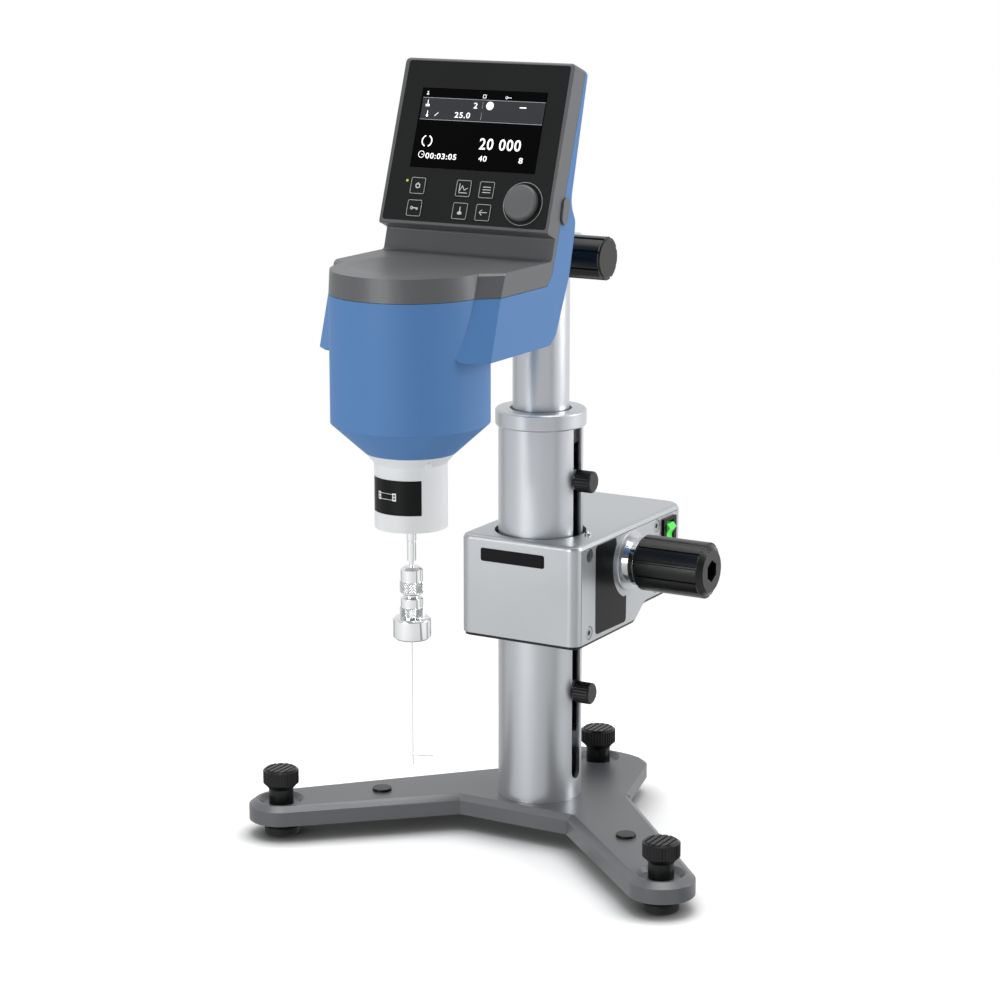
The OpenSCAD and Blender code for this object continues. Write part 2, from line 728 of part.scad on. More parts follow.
function cover_pts(d) = concat(box_floor(0, -cover_front + d, cover_rear - d),
    [[cover_rear - d, cover_top_z - d], [-cover_front + d, cover_top_z - d]]);
module drive_housing() {
    color("#b9bcc0") difference() {
        union() {
            translate([0, 0, box_bottom - 1])
                linear_extrude(box_top - box_edge - box_bottom + 1) polygon(box_outline(0));
            hull() {
                translate([0, 0, box_top - box_edge - slice])
                    linear_extrude(slice) polygon(box_outline(0));
                translate([0, 0, box_top - box_edge / 3])
                    linear_extrude(slice) polygon(box_outline(box_edge / 3));
                translate([0, 0, box_top - slice])
                    linear_extrude(slice) polygon(box_outline(box_edge));
            }
        }
        below_floor(0);
        translate([0, 0, box_bottom - 2]) linear_extrude(box_inner_top - box_bottom + 2)
            polygon(rounded(box_pts(box_wall - box_left, box_wall - box_front,
                box_inner_x, box_rear - box_wall), box_front_r - box_wall));
        side_extrude(cover_x - cover_gap, box_right + cut, cover_pts(-cover_gap));
        side_extrude(box_inner_x - cut, cover_x, window_pts);
        side_extrude(box_inner_x - cut, cover_x, switch_pts(0.6));
        translate([0, 0, box_inner_top - cut])
            cylinder(r = box_hole_r, h = box_wall + 2 * cut);
        translate([limit_x, 0, box_inner_top - cut])
            cylinder(r = limit_r + shaft_gap, h = box_wall + 2 * cut);
        translate([inlet_x, box_rear - box_wall - cut, inlet_z])
            along_y() cylinder(r = inlet_r, h = box_wall + 2 * cut);
    }
}
function screw_places() = [
    [-cover_front + 11.7, cover_top_z - 5.2], [-cover_front + 11.7, box_bottom + 6.8],
    [cover_rear - 33, cover_top_z - 5.2], [cover_rear - 33, box_bottom + box_step + 6.8]];
screw_stem_r = 1.6;
screw_sink = 1.8;
module side_cover() {
    color("#b6babe") difference() {
        side_extrude(cover_x, box_right, cover_pts(0));
        translate([cover_x - cut, shaft_y, shaft_z])
            along_x() cylinder(r = flange_spigot_r + shaft_gap, h = side_t + 2 * cut);
        side_extrude(cover_x - cut, box_right + cut, switch_pts(0));
        for (p = screw_places()) {
            translate([cover_x - cut, p.x, p.y])
                along_x() cylinder(r = screw_stem_r + shaft_gap, h = side_t + 2 * cut);
            translate([box_right - screw_sink, p.x, p.y])
                along_x() cylinder(r = screw_r + 0.25, h = screw_sink + cut);
        }
    }
}
module bottom_cover() {
    edge = 1.2;
    color("#2c2d2f") difference() {
        translate([0, 0, box_bottom - bottom_t - 1])
            linear_extrude(box_step + bottom_t + 1) polygon(box_outline(edge));
        below_floor(-bottom_t);
        side_extrude(-box_right - 30, box_right + 30,
            concat([[box_rear + 20, box_top], [-box_front - 20, box_top]],
                box_floor(0, -box_front - 20, box_rear + 20)));
        translate([0, 0, box_bottom - 2 * bottom_t])
            cylinder(r = box_hole_r, h = 4 * bottom_t);
        translate([limit_x, 0, box_bottom - 2 * bottom_t])
            cylinder(r = limit_r + shaft_gap, h = 4 * bottom_t);
    }
}
module cover_screws() {
    head_t = screw_sink - 0.2;
    under_head = box_right - screw_sink;
    color("#9b9ea2") for (p = screw_places()) translate([under_head, p.x, p.y]) along_x() {
        difference() {
            cylinder(r = screw_r, h = head_t);
            translate([0, 0, head_t - 1.2]) cylinder(r = 1.9, h = 2, $fn = 6);
        }
        translate([0, 0, screw_sink - side_t])
            cylinder(r = screw_stem_r, h = side_t - screw_sink + 0.1);
    }
}

// Limit pins: a round-nosed plunger through the box wall, with a flange inside
pin_proud = 3;
module limit_pin() {
    cylinder(r = limit_r, h = box_wall + pin_proud - limit_r / 2);
    translate([0, 0, box_wall + pin_proud - limit_r / 2])
        cylinder(r1 = limit_r, r2 = limit_r / 2, h = limit_r / 2);
    translate([0, 0, -seat - 1.2]) cylinder(r = limit_r + 1.2, h = 1.2);
    translate([0, 0, -seat - 5]) cylinder(r = limit_r - 0.6, h = 5 + seat);
}
module upper_limit_pin() {
    color("#d8dadc") translate([limit_x, 0, box_inner_top]) limit_pin();
}
module lower_limit_pin() {
    color("#d8dadc") translate([limit_x, 0, box_bottom - bottom_t + box_wall])
        mirror([0, 0, 1]) limit_pin();
}

// Link from the box to the inner tube, through the slot
link_z = 172;
link_h = 26;
link_screw_r = 2.5;
module slide_link() {
    color("#8d9094") difference() {
        union() {
            translate([inner_r + 0.2, -slot_w / 2 + 0.15, link_z - link_h / 2])
                cube([box_inner_x - inner_r - 0.2, slot_w - 0.3, link_h]);
            translate([box_inner_x - 4, -14, link_z - link_h / 2])
                cube([4, 28, link_h]);
            translate([inner_bore_r + 0.6, 0, link_z])
                along_x() cylinder(r = link_screw_r - shaft_gap, h = inner_r - inner_bore_r);
        }
        translate([0, 0, link_z - link_h]) cylinder(r = inner_r + 0.2, h = link_h / 4);
    }
}

// Drive train
frame_front = outer_r + 4;
cheek_t = 3;
cheek_left_x = -14;
cheek_right_x = wheel_x - 7;
module gear_frame() {
    bridge_t = 3;
    rear_y = motor_y + motor_r + 4;
    cheek_bottom = motor_z - motor_r + 2;
    color("#9b9ea2") difference() {
        union() {
            translate([cheek_left_x, frame_front, box_inner_top - bridge_t])
                cube([cheek_right_x + cheek_t - cheek_left_x, rear_y - frame_front, bridge_t]);
            translate([cheek_right_x, frame_front, cheek_bottom])
                cube([cheek_t, rear_y - frame_front, box_inner_top - cheek_bottom]);
            translate([cheek_left_x, frame_front, shaft_z - shaft_r - 6])
                cube([cheek_t, motor_y - motor_r - 1 - frame_front,
                    box_inner_top - shaft_z + shaft_r + 6]);
        }
        translate([cheek_left_x - cut, shaft_y, shaft_z]) along_x()
            cylinder(r = shaft_r + shaft_gap, h = cheek_right_x + cheek_t - cheek_left_x + 2 * cut);
        translate([cheek_right_x - cut, motor_y, motor_z])
            along_x() cylinder(r = motor_pilot_r, h = cheek_t + 2 * cut);
    }
}
motor_pilot_r = 6;
motor_shaft_r = 2;
module lift_motor() {
    color("#3a3c3f") translate([cheek_right_x - motor_len, motor_y, motor_z]) along_x() {
        difference() {
            union() {
                cylinder(r = motor_r, h = motor_len);
                translate([0, 0, motor_len]) cylinder(r = motor_pilot_r - shaft_gap, h = cheek_t);
            }
            translate([0, 0, motor_len - 12])
                cylinder(r = motor_shaft_r + shaft_gap, h = 12 + cheek_t + cut);
        }
    }
}
module pinion_shaft() {
    color("#a7aaae") translate([0, shaft_y, shaft_z]) along_x() {
        translate([0, 0, cheek_left_x - 2])
            cylinder(r = shaft_r, h = wheel_x + wheel_w + 2 - cheek_left_x + 2);
        translate([0, 0, -rack_w / 2])
            linear_extrude(rack_w) polygon(gear_pts(pinion_teeth, rack_module));
    }
}
module drive_wheel() {
    hub_r = 9;
    color("#c9a544") translate([wheel_x, shaft_y, shaft_z]) along_x()
        rotate([0, 0, -motor_angle]) difference() {
            union() {
                linear_extrude(wheel_w) polygon(gear_pts(wheel_teeth, rack_module));
                translate([0, 0, -2.5]) cylinder(r = hub_r, h = wheel_w + 2.5);
            }
            translate([0, 0, -3]) cylinder(r = shaft_r + 0.02, h = wheel_w + 4);
            for (k = [0:4]) rotate([0, 0, 72 * k]) translate([wheel_r * 0.68, 0, -cut])
                cylinder(r = 3.4, h = wheel_w + 2 * cut);
        }
}
module motor_pinion() {
    color("#a7aaae") translate([wheel_x, motor_y, motor_z]) along_x()
        rotate([0, 0, 180 - motor_angle + 180 / motor_teeth]) {
            linear_extrude(wheel_w) polygon(gear_pts(motor_teeth, rack_module));
            translate([0, 0, cheek_right_x - wheel_x - 11])
                cylinder(r = motor_shaft_r, h = wheel_x - cheek_right_x + 11);
        }
}

// Release knob with its clutch plate, and the chrome flange that it runs in
flange_spigot_r = 12;
release_stud_r = 6;
clutch_x = wheel_x + wheel_w + seat;
module knob_flange() {
    nut_x = box_inner_x - 2;
    color("#d4d6d8") difference() {
        union() {
            translate([box_right, shaft_y, shaft_z]) along_x() {
                cylinder(r = flange_r, h = 1.2);
                translate([0, 0, 1.2]) cylinder(r1 = flange_r - 0.6, r2 = flange_r - 2, h = 5.4);
                translate([0, 0, 6.6]) cylinder(r = flange_r, h = 4);
            }
            translate([nut_x, shaft_y, shaft_z])
                along_x() cylinder(r = flange_spigot_r, h = box_right - nut_x);
        }
        translate([nut_x - cut, shaft_y, shaft_z])
            along_x() cylinder(r = release_stud_r + shaft_gap, h = 40);
    }
}
module release_knob() {
    len = release_x1 - release_x0;
    chamfer = 3.4;
    socket = 8;
    color("#242527") difference() {
        union() {
            translate([release_x0, shaft_y, shaft_z]) along_x() {
                cylinder(r1 = release_r - 1.6, r2 = release_r - 1, h = 2);
                translate([0, 0, 2]) linear_extrude(len - 2 - chamfer)
                    polygon(ribbed_pts(release_r, 1.1, 12, 3));
                translate([0, 0, len - chamfer])
                    cylinder(r1 = release_r - 1.1, r2 = release_r - 5, h = chamfer);
            }
            translate([clutch_x + 3, shaft_y, shaft_z])
                along_x() cylinder(r = release_stud_r, h = release_x0 - clutch_x);
            translate([clutch_x, shaft_y, shaft_z])
                along_x() cylinder(r = 9, h = 3.5);
        }
        translate([clutch_x - cut, shaft_y, shaft_z])
            along_x() cylinder(r = shaft_r + 0.3, h = 2.5 + cut);
        translate([release_x1 - socket, shaft_y, shaft_z])
            along_x() rotate([0, 0, 30]) cylinder(r = socket, h = socket + cut, $fn = 6);
    }
}

// Rocker switch
rocker_half_y = switch_w / 2 - 5;
rocker_half_z = switch_h / 2 - 3.4;
rocker_tilt = 10;
pivot_x = box_right - 4;
pivot_r = 1.5;
rocker_waist = 4.4;
rocker_tip = 7.4;
rocker_back = 3;
module switch_bezel() {
    body_x = box_right - 18;
    color("#1b1c1d") difference() {
        union() {
            side_extrude(box_right, box_right + 2, rounded(
                box_pts(switch_y - switch_w / 2, switch_z - switch_h / 2,
                    switch_y + switch_w / 2, switch_z + switch_h / 2), 1));
            side_extrude(body_x, box_right + 0.1, switch_pts(-seat / 2));
        }
        side_extrude(pivot_x - 5, box_right + 2 + cut,
            box_pts(switch_y - rocker_half_y - seat, switch_z - rocker_half_z - seat - 0.7,
                switch_y + rocker_half_y + seat, switch_z + rocker_half_z + seat + 0.7));
        translate([pivot_x, switch_y - rocker_half_y - 1, switch_z])
            along_y() cylinder(r = pivot_r + shaft_gap, h = 2 * rocker_half_y + 2);
    }
    color("#c9a544") for (s = [-1, 0, 1])
        translate([body_x - 7, switch_y - 2.4, switch_z + 7 * s - 0.4]) cube([7.1, 4.8, 0.8]);
}
module rocker() {
    z1 = rocker_half_z;
    z2 = rocker_half_z - 2.4;
    color("#4fd14a") translate([pivot_x, switch_y, switch_z]) rotate([0, rocker_tilt, 0]) {
        translate([0, rocker_half_y, 0]) rotate([90, 0, 0]) linear_extrude(2 * rocker_half_y)
            polygon(rounded([[-rocker_back, 1.5 - z1], [rocker_waist, -z1], [rocker_tip, -z2],
                [rocker_waist, 0], [rocker_tip, z2], [rocker_waist, z1],
                [-rocker_back, z1 - 1.5]], [0.5, 0.6, 0.5, 6, 0.5, 0.6, 0.5]));
        translate([0, -rocker_half_y - 0.9, 0])
            along_y() cylinder(r = pivot_r, h = 2 * rocker_half_y + 1.8);
    }
}
inlet_x = -14;
inlet_z = 190;
inlet_r = 5.5;
module power_inlet() {
    color("#1b1c1d") translate([inlet_x, box_rear, inlet_z]) {
        along_y() difference() {
            union() {
                cylinder(r = inlet_r + 2, h = 1.5);
                translate([0, 0, -14]) cylinder(r = inlet_r - shaft_gap, h = 14.1);
            }
            translate([0, 0, -9]) cylinder(r = 2.8, h = 11);
        }
        along_y() translate([0, 0, -9.5]) cylinder(r = 1, h = 9);
    }
}

// Head clamp
module clamp_block() {
    spigot_h = 18;
    color("#b9bcc0") difference() {
        union() {
            translate([0, 0, clamp_bottom]) linear_extrude(clamp_h) polygon(
                rounded(box_pts(-clamp_half, -clamp_half, clamp_half, clamp_half), 6));
            translate([0, 0, clamp_bottom - spigot_h])
                cylinder(r = inner_bore_r - slide_gap, h = spigot_h + 0.1);
        }
        translate([0, -clamp_half - cut, rod_z])
            along_y() cylinder(r = rod_r + shaft_gap, h = 2 * clamp_half + 2 * cut);
        translate([0, 0, rod_z])
            along_x() cylinder(r = clamp_screw_r + shaft_gap, h = clamp_half + cut);
    }
}
module clamp_knob() {
    x0 = clamp_half + seat;
    len = clamp_knob_end - x0;
    color("#26282a") translate([0, 0, rod_z]) along_x() {
        translate([0, 0, x0]) linear_extrude(len - 1) polygon(
            ribbed_pts(clamp_knob_r, 1.2, 8, 5));
        translate([0, 0, clamp_knob_end - 1])
            cylinder(r1 = clamp_knob_r - 1.2, r2 = clamp_knob_r - 2.2, h = 1);
        translate([0, 0, rod_r + seat])
            cylinder(r = clamp_screw_r, h = x0 - rod_r - seat + 1);
    }
}
rod_front_y = -132;
module extension_rod() {
    back = clamp_half + 5;
    color("#b0b3b7") translate([0, rod_front_y, rod_z]) along_y() {
        cylinder(r = rod_r, h = back - 1 - rod_front_y);
        translate([0, 0, back - 1 - rod_front_y]) cylinder(r1 = rod_r, r2 = rod_r - 1, h = 1);
    }
}

// Head housing: one outer form, split by the parting line into two shells
sin_t = sin(panel_tilt);
cos_t = cos(panel_tilt);
// Side view point at slope distance b above the screen centre, d behind the panel face
function slope_pt(b, d) = [-panel_y + b * sin_t + d * cos_t, panel_z + b * cos_t - d * sin_t];
pod_top = panel_up + bezel_up;
pod_bottom = -panel_down - bezel_down;
pod_depth = bezel_depth + 3.2;
head_profile = [
    [-198, shoulder_z], [-104, shoulder_z], [-96.5, 379], [-78.9, 415], [-71.5, 443],
    [-70.3, 451], [-76.9, 463.5], slope_pt(pod_top, pod_depth), slope_pt(pod_top, 0),
    slope_pt(pod_bottom, 0), [-98, 442.5], [-102.5, cover_top], [-180, cover_top],
    [-185, parting_z]];
head_radii = [5, 8, 10, 30, 6, 6, 18, 4, 2.5, 1.5, 1.5, 3, 0, 0];
// Where the slanted front of each wing meets its side, at the parting line
wing_corner_y = -168.9;
wing_turn = 41.4;
wing_lean = 13.7;
wing_round = 5;
wing_round_z = (cover_top - parting_z - wing_round * (1 - sin(wing_lean))) / cos(wing_lean);
// What lies in front of the wings, d deeper than their slanted faces
module wing_front(d) {
    for (s = [-1, 1]) translate([s * head_half_w, wing_corner_y, parting_z])
        rotate([0, 0, s * wing_turn]) rotate([-wing_lean, 0, 0]) {
            translate([-80, d - 60, -90]) cube([160, 60, 150]);
            translate([-80, d + wing_round, wing_round_z])
                for (i = [1:3]) rotate([wing_lean + i * (90 - wing_lean) / 4, 0, 0])
                    translate([0, -60, wing_round]) cube([160, 90, 40]);
        }
}
// Parting line in side view, followed from the top of the pod down to the front
function parting_line(d) = [
    slope_pt(pod_top + 30, bezel_depth + d), slope_pt(pod_bottom - 24, bezel_depth + d),
    [-108.5, parting_z - d], [-190 - head_r, parting_z - d]];
module grey_region() {
    side_extrude(-head_half_w - 1, head_half_w + 1, rounded(concat(
        [for (i = [3:-1:0]) parting_line(-seam)[i]],
        [[-panel_y - 60, panel_z + 90], [-190 - head_r, panel_z + 90]]),
        [0, 4, 4, 0, 0, 0]));
}
module blue_region() {
    side_extrude(-head_half_w - 1, head_half_w + 1, rounded(concat(
        parting_line(seam),
        [[-190 - head_r, 250], [20, 250], [20, panel_z + 90]]),
        [0, 4, 4, 0, 0, 0, 0]));
}
module head_outer() {
    difference() {
        side_extrude(-head_half_w, head_half_w, rounded(head_profile, head_radii));
        wing_front(0);
    }
    at_spindle() {
        translate([0, 0, head_cyl_bottom])
            cylinder(r = head_r, h = parting_z - head_cyl_bottom);
        translate([0, 0, parting_z]) cylinder(r1 = head_r, r2 = head_r - 0.8,
            h = cover_top - parting_z);
        translate([0, 0, head_cone_bottom])
            cylinder(r1 = head_cone_r, r2 = head_r, h = head_cyl_bottom - head_cone_bottom);
    }
}
module head_inner() {
    w = head_wall;
    difference() {
        side_extrude(w - head_half_w, head_half_w - w, inset(head_profile, w));
        wing_front(w);
    }
    at_spindle() {
        translate([0, 0, head_cyl_bottom])
            cylinder(r = head_r - w, h = cover_top - w - head_cyl_bottom);
        translate([0, 0, head_cone_bottom - cut])
            cylinder(r1 = head_cone_r - w, r2 = head_r - w,
                h = head_cyl_bottom - head_cone_bottom + cut + slice);
    }
}
module head_housing() {
    color("#6f9bd1") difference() {
        intersection() {
            head_outer();
            blue_region();
        }
        head_inner();
        translate([0, -95, rod_z]) along_y() cylinder(r = rod_r + 0.3, h = 40);
    }
}
dish_r = 50;
dish_y = -160;
dish_sag = 2;
module top_cover() {
    dish_ball = (dish_r * dish_r + dish_sag * dish_sag) / 2 / dish_sag;
    color("#626466") difference() {
        intersection() {
            head_outer();
            grey_region();
        }
        head_inner();
        on_panel() {
            translate([0, 0, -panel_t]) linear_extrude(panel_t + cut)
                polygon(panel_outline(-0.15));
            translate([0, 0, -head_wall - cut]) linear_extrude(head_wall)
                polygon(panel_outline(2.2));
        }
        intersection() {
            translate([0, dish_y, cover_top + dish_ball - dish_sag])
                sphere(r = dish_ball, $fn = 180);
            translate([0, dish_y, cover_top - 2]) cylinder(r = dish_r + 1, h = 2.1);
        }
    }
}

// Display panel
function panel_outline(d) = rounded([
    [-panel_half_bottom + d, -panel_down + d], [panel_half_bottom - d, -panel_down + d],
    [panel_half_top - d, panel_up - d], [-panel_half_top + d, panel_up - d]], 2);
key_places = [
    [key_column_1, -key_row_1], [key_column_1, -key_row_2],
    [key_column_2, -key_row_1], [key_column_3, -key_row_1],
    [key_column_2, -key_row_2], [key_column_3, -key_row_2]];
menu_shaft_r = 3;
function key_outline(d) = rounded(
    box_pts(-key_w / 2 - d, -key_w / 2 - d, key_w / 2 + d, key_w / 2 + d), 1.2 + d);
module front_panel() {
    color("#26282a") on_panel() difference() {
        translate([0, 0, -panel_t]) linear_extrude(panel_t) polygon(panel_outline(0));
        translate([0, 0, -panel_t - cut]) {
            linear_extrude(panel_t + 2 * cut) polygon(box_pts(
                -screen_w / 2 - seat, -screen_h / 2 - seat,
                screen_w / 2 + seat, screen_h / 2 + seat));
            for (p = key_places) translate([p.x, p.y, 0])
                linear_extrude(panel_t + 2 * cut) polygon(key_outline(key_gap));
            translate([menu_x, -menu_down, 0])
                cylinder(r = menu_shaft_r + shaft_gap, h = panel_t + 2 * cut);
        }
    }
}
board_z = -11;
module display() {
    color("#101214") on_panel() {
        translate([-screen_w / 2, -screen_h / 2, -panel_t - 0.5])
            cube([screen_w, screen_h, panel_t + 0.3]);
        translate([-screen_w / 2 - 5, -screen_h / 2 - 3, -panel_t - 5])
            cube([screen_w + 10, screen_h + 8, 5 - seat]);
    }
}
module circuit_board() {
    plunger_top = -3 - key_travel - seat;
    color("#2f6b46") on_panel() {
        difference() {
            translate([0, 0, board_z - 1.6])
                linear_extrude(1.6) polygon(panel_outline(5));
            for (s = [-1, 1]) translate([s * (panel_half_top - 9.4), panel_up - 12, board_z - 2])
                cylinder(r = 1.6, h = 3);
        }
        for (p = key_places) translate([p.x, p.y, board_z]) {
            linear_extrude(plunger_top - board_z - 2) polygon(box_pts(-3, -3, 3, 3));
            cylinder(r = 1.7, h = plunger_top - board_z);
        }
        translate([menu_x, -menu_down, board_z]) difference() {
            linear_extrude(5) polygon(box_pts(-6, -6, 6, 6));
            cylinder(r = menu_shaft_r + shaft_gap, h = 6);
        }
        for (x = [-30, 0, 30]) translate([x, 5, board_z - 3.4]) linear_extrude(1.8)
            polygon(box_pts(-6, -6, 6, 6));
    }
}
module key(i) {
    proud = 0.5;
    color("#303234") on_panel() translate([key_places[i].x, key_places[i].y, -3])
        linear_extrude(3 + proud) polygon(key_outline(0));
}
module menu_knob() {
    color("#3a3c3f") on_panel() translate([menu_x, -menu_down, 0]) {
        rotate_extrude() polygon([
            [0, seat], [menu_r - 0.5, seat], [menu_r, seat + 0.8], [menu_r, menu_h - 1.4],
            [menu_r - 1.2, menu_h - 0.2], [menu_r - 2.4, menu_h], [menu_r - 4, menu_h - 0.5],
            [0, menu_h - 0.9]]);
        translate([0, 0, board_z + 1]) cylinder(r = menu_shaft_r, h = 1 - board_z);
    }
}
clip_b = -47;
clip_d = 17;
module side_clip() {
    half_w = 5;
    half_l = 9;
    color("#707174") translate([head_half_w, 0, 0]) along_x() linear_extrude(1.5)
        translate(slope_pt(clip_b, clip_d)) rotate([0, 0, -panel_tilt])
            polygon(rounded(box_pts(-half_w, -half_l, half_w, half_l), half_w - slice));
}

// Head mechanism
chassis_half_w = 30;
chassis_back_y = 95;
chassis_block_half = 14;
chassis_block_len = 46;
module chassis_plate() {
    arm_y = rod_front_y;
    block = chassis_block_half;
    color("#9b9ea2") difference() {
        union() {
            at_spindle() translate([0, 0, chassis_bottom])
                cylinder(r = head_r - head_wall - seat, h = chassis_t);
            translate([0, -spindle_y, chassis_bottom])
                linear_extrude(chassis_t) polygon(box_pts(
                    -chassis_half_w, 0, chassis_half_w, spindle_y - chassis_back_y));
            translate([-block, arm_y + 2 - block, chassis_z - 0.1])
                cube([2 * block, chassis_block_len, rod_z - chassis_z + 4.1]);
        }
        translate([0, arm_y, rod_z])
            along_y() cylinder(r = rod_r + shaft_gap, h = chassis_block_len + cut);
        at_spindle() translate([0, 0, chassis_bottom - cut])
            cylinder(r = drive_pilot_r, h = chassis_t + 2 * cut);
    }
}
drive_pilot_r = 11;
drive_shaft_r = 2.5;
module drive_motor() {
    half = drive_motor_w / 2;
    color("#2e3033") at_spindle() difference() {
        union() {
            translate([0, 0, chassis_z]) linear_extrude(drive_motor_h)
                polygon(rounded(box_pts(-half, -half, half, half), 5));
            translate([0, 0, chassis_bottom])
                cylinder(r = drive_pilot_r - shaft_gap, h = chassis_t + 0.1);
        }
        translate([0, 0, chassis_bottom - cut])
            cylinder(r = drive_shaft_r + shaft_gap, h = chassis_t + 12);
    }
}
plate_t = 3;
post_r = 2;
spring_z = cage_bottom + 20;
disc_z = cage_bottom + 11;
module drive_cage() {
    color("#a7aaae") at_spindle() {
        translate([0, 0, cage_top - 0.1])
            cylinder(r = drive_shaft_r, h = chassis_bottom + 12 - cage_top);
        translate([0, 0, cage_top - plate_t]) cylinder(r = 7, h = plate_t + 5);
        translate([0, 0, cage_top - plate_t]) cylinder(r = cage_r, h = plate_t);
        translate([0, 0, cage_bottom]) ring(cage_r, spring_r, plate_t);
        for (k = [0:2]) rotate([0, 0, 120 * k]) translate([cage_r - post_r - 0.5, 0, cage_bottom])
            cylinder(r = post_r, h = cage_h);
    }
}
// Flat spiral band, outlined outwards on one side and back inwards on the other
spring_t = 0.5;
spiral_steps = 24;
function spiral(d) = [for (i = [0:spring_turns * spiral_steps])
    let (r = meas_r + 1.2 + (spring_r - meas_r - 1.2) * i / spring_turns / spiral_steps)
    (r - d) * [cos(i * 360 / spiral_steps), sin(i * 360 / spiral_steps)]];
module torsion_spring() {
    back = spiral(spring_t);
    color("#8d9094") at_spindle() {
        translate([0, 0, spring_z]) linear_extrude(spring_h) polygon(concat(spiral(0),
            [for (i = [len(back) - 1:-1:0]) back[i]]));
        translate([0, 0, spring_z]) ring(meas_r + 1.2, meas_r + 0.02, spring_h);
    }
}
module encoder_disc() {
    color("#b7a46a") at_spindle() translate([0, 0, disc_z]) difference() {
        union() {
            cylinder(r = disc_r, h = 1.5);
            cylinder(r = meas_r + 2.5, h = 5);
        }
        translate([0, 0, -cut]) cylinder(r = meas_r + 0.02, h = 6);
        for (k = [0:17]) rotate([0, 0, 20 * k]) translate([disc_r - 2.6, -0.7, -cut])
            cube([1.8, 1.4, 3]);
    }
}
module measuring_shaft() {
    pin_r = 1.5;
    color("#cfd2d4") at_spindle() {
        translate([0, 0, meas_sleeve_z])
            cylinder(r = meas_r, h = cage_top - plate_t - 1 - meas_sleeve_z);
        translate([0, 0, meas_sleeve_z - 0.6]) cylinder(r = meas_r - 0.5, h = 0.7);
        translate([0, 0, meas_shoulder_z])
            cylinder(r = meas_r - 0.2, h = meas_sleeve_z - 0.6 - meas_shoulder_z);
        translate([0, 0, nut_top - nut_h + 2])
            cylinder(r = pin_r, h = meas_shoulder_z - nut_top + nut_h - 2 + 0.1);
    }
}
bearing_places = [guard_bottom + 4, head_cone_bottom - 12];
module shaft_guard() {
    cone_h = 7;
    shoulder = head_cone_bottom - cone_h;
    color("#e6e7e9") at_spindle() {
        difference() {
            union() {
                translate([0, 0, guard_bottom]) cylinder(r = guard_r, h = shoulder - guard_bottom);
                translate([0, 0, shoulder])
                    cylinder(r1 = guard_r, r2 = head_cone_r - 0.3, h = cone_h);
                translate([0, 0, head_cone_bottom - slice])
                    cylinder(r = head_cone_r - head_wall - 0.1, h = 6);
            }
            translate([0, 0, guard_bottom - cut]) cylinder(r = meas_r + 1, h = 60);
            for (z = bearing_places) translate([0, 0, z])
                cylinder(r = bearing_r, h = bearing_w);
            translate([0, 0, guard_bottom + 10])
                cylinder(r = guard_r - 2 * guard_wall, h = 18);
            translate([0, 0, bearing_places[1] + bearing_w])
                cylinder(r = bearing_r + 4, h = 30);
        }
        rotate([0, 0, -33]) translate([guard_r - 1, 0, shoulder + 2])
            along_x() cylinder(r = 1.8, h = 5.5);
    }
}
module spindle_bearings() {
    color("#8d9094") at_spindle() for (z = bearing_places) translate([0, 0, z]) {
        ring(bearing_r - 0.02, bearing_r - 1.7, bearing_w);
        ring(meas_r + 1.4, meas_r + 0.02, bearing_w);
        translate([0, 0, 0.4]) ring(bearing_r - 1.6, meas_r + 1.6, bearing_w - 0.8);
    }
}

// Spindle coupling and T-bar spindle
module coupling_nut() {
    knurl_h = 8;
    z0 = nut_top - nut_h;
    color("#d4d6d8") at_spindle() difference() {
        union() {
            translate([0, 0, z0]) cylinder(r1 = nut_r - 1.6, r2 = nut_r - 0.6, h = 1);
            translate([0, 0, z0 + 1])
                linear_extrude(knurl_h) polygon(knurl_pts(nut_r, 0.5, 24));
            translate([0, 0, z0 + 1 + knurl_h])
                cylinder(r = nut_r - 0.6, h = nut_h - knurl_h - 2.8);
            translate([0, 0, nut_top - 1.8])
                cylinder(r1 = nut_r - 0.6, r2 = nut_r - 3, h = 1.8);
        }
        translate([0, 0, z0 - cut]) cylinder(r = 1.5 + shaft_gap, h = nut_h + 2 * cut);
    }
}
module t_spindle() {
    weight_top = chuck_top - chuck_h;
    weight_bottom = weight_top - weight_h;
    edge = 1.4;
    knurl_h = 7.4;
    color("#cfd2d4") at_spindle() {
        translate([0, 0, chuck_top - 1]) cylinder(r = 4.5, h = nut_top - nut_h - seat - chuck_top + 1);
        translate([0, 0, chuck_top - 1]) cylinder(r1 = chuck_r - 0.6, r2 = chuck_r - 2, h = 1);
        translate([0, 0, weight_top + knurl_h])
            cylinder(r = chuck_r - 0.6, h = chuck_h - knurl_h - 1);
        translate([0, 0, weight_top]) linear_extrude(knurl_h)
            polygon(knurl_pts(chuck_r, 0.5, 24));
        translate([0, 0, weight_top - edge]) cylinder(r1 = weight_r, r2 = weight_r - edge, h = edge);
        translate([0, 0, weight_bottom + edge]) cylinder(r = weight_r, h = weight_h - 2 * edge);
        translate([0, 0, weight_bottom]) cylinder(r1 = weight_r - edge, r2 = weight_r, h = edge);
        translate([0, 0, t_rod_bottom])
            cylinder(r = t_rod_r, h = weight_bottom - t_rod_bottom + 0.1);
        rotate([0, 0, 21]) translate([-t_bar_len / 2, 0, t_rod_bottom + t_bar_rise])
            along_x() cylinder(r = t_rod_r, h = t_bar_len);
    }
}

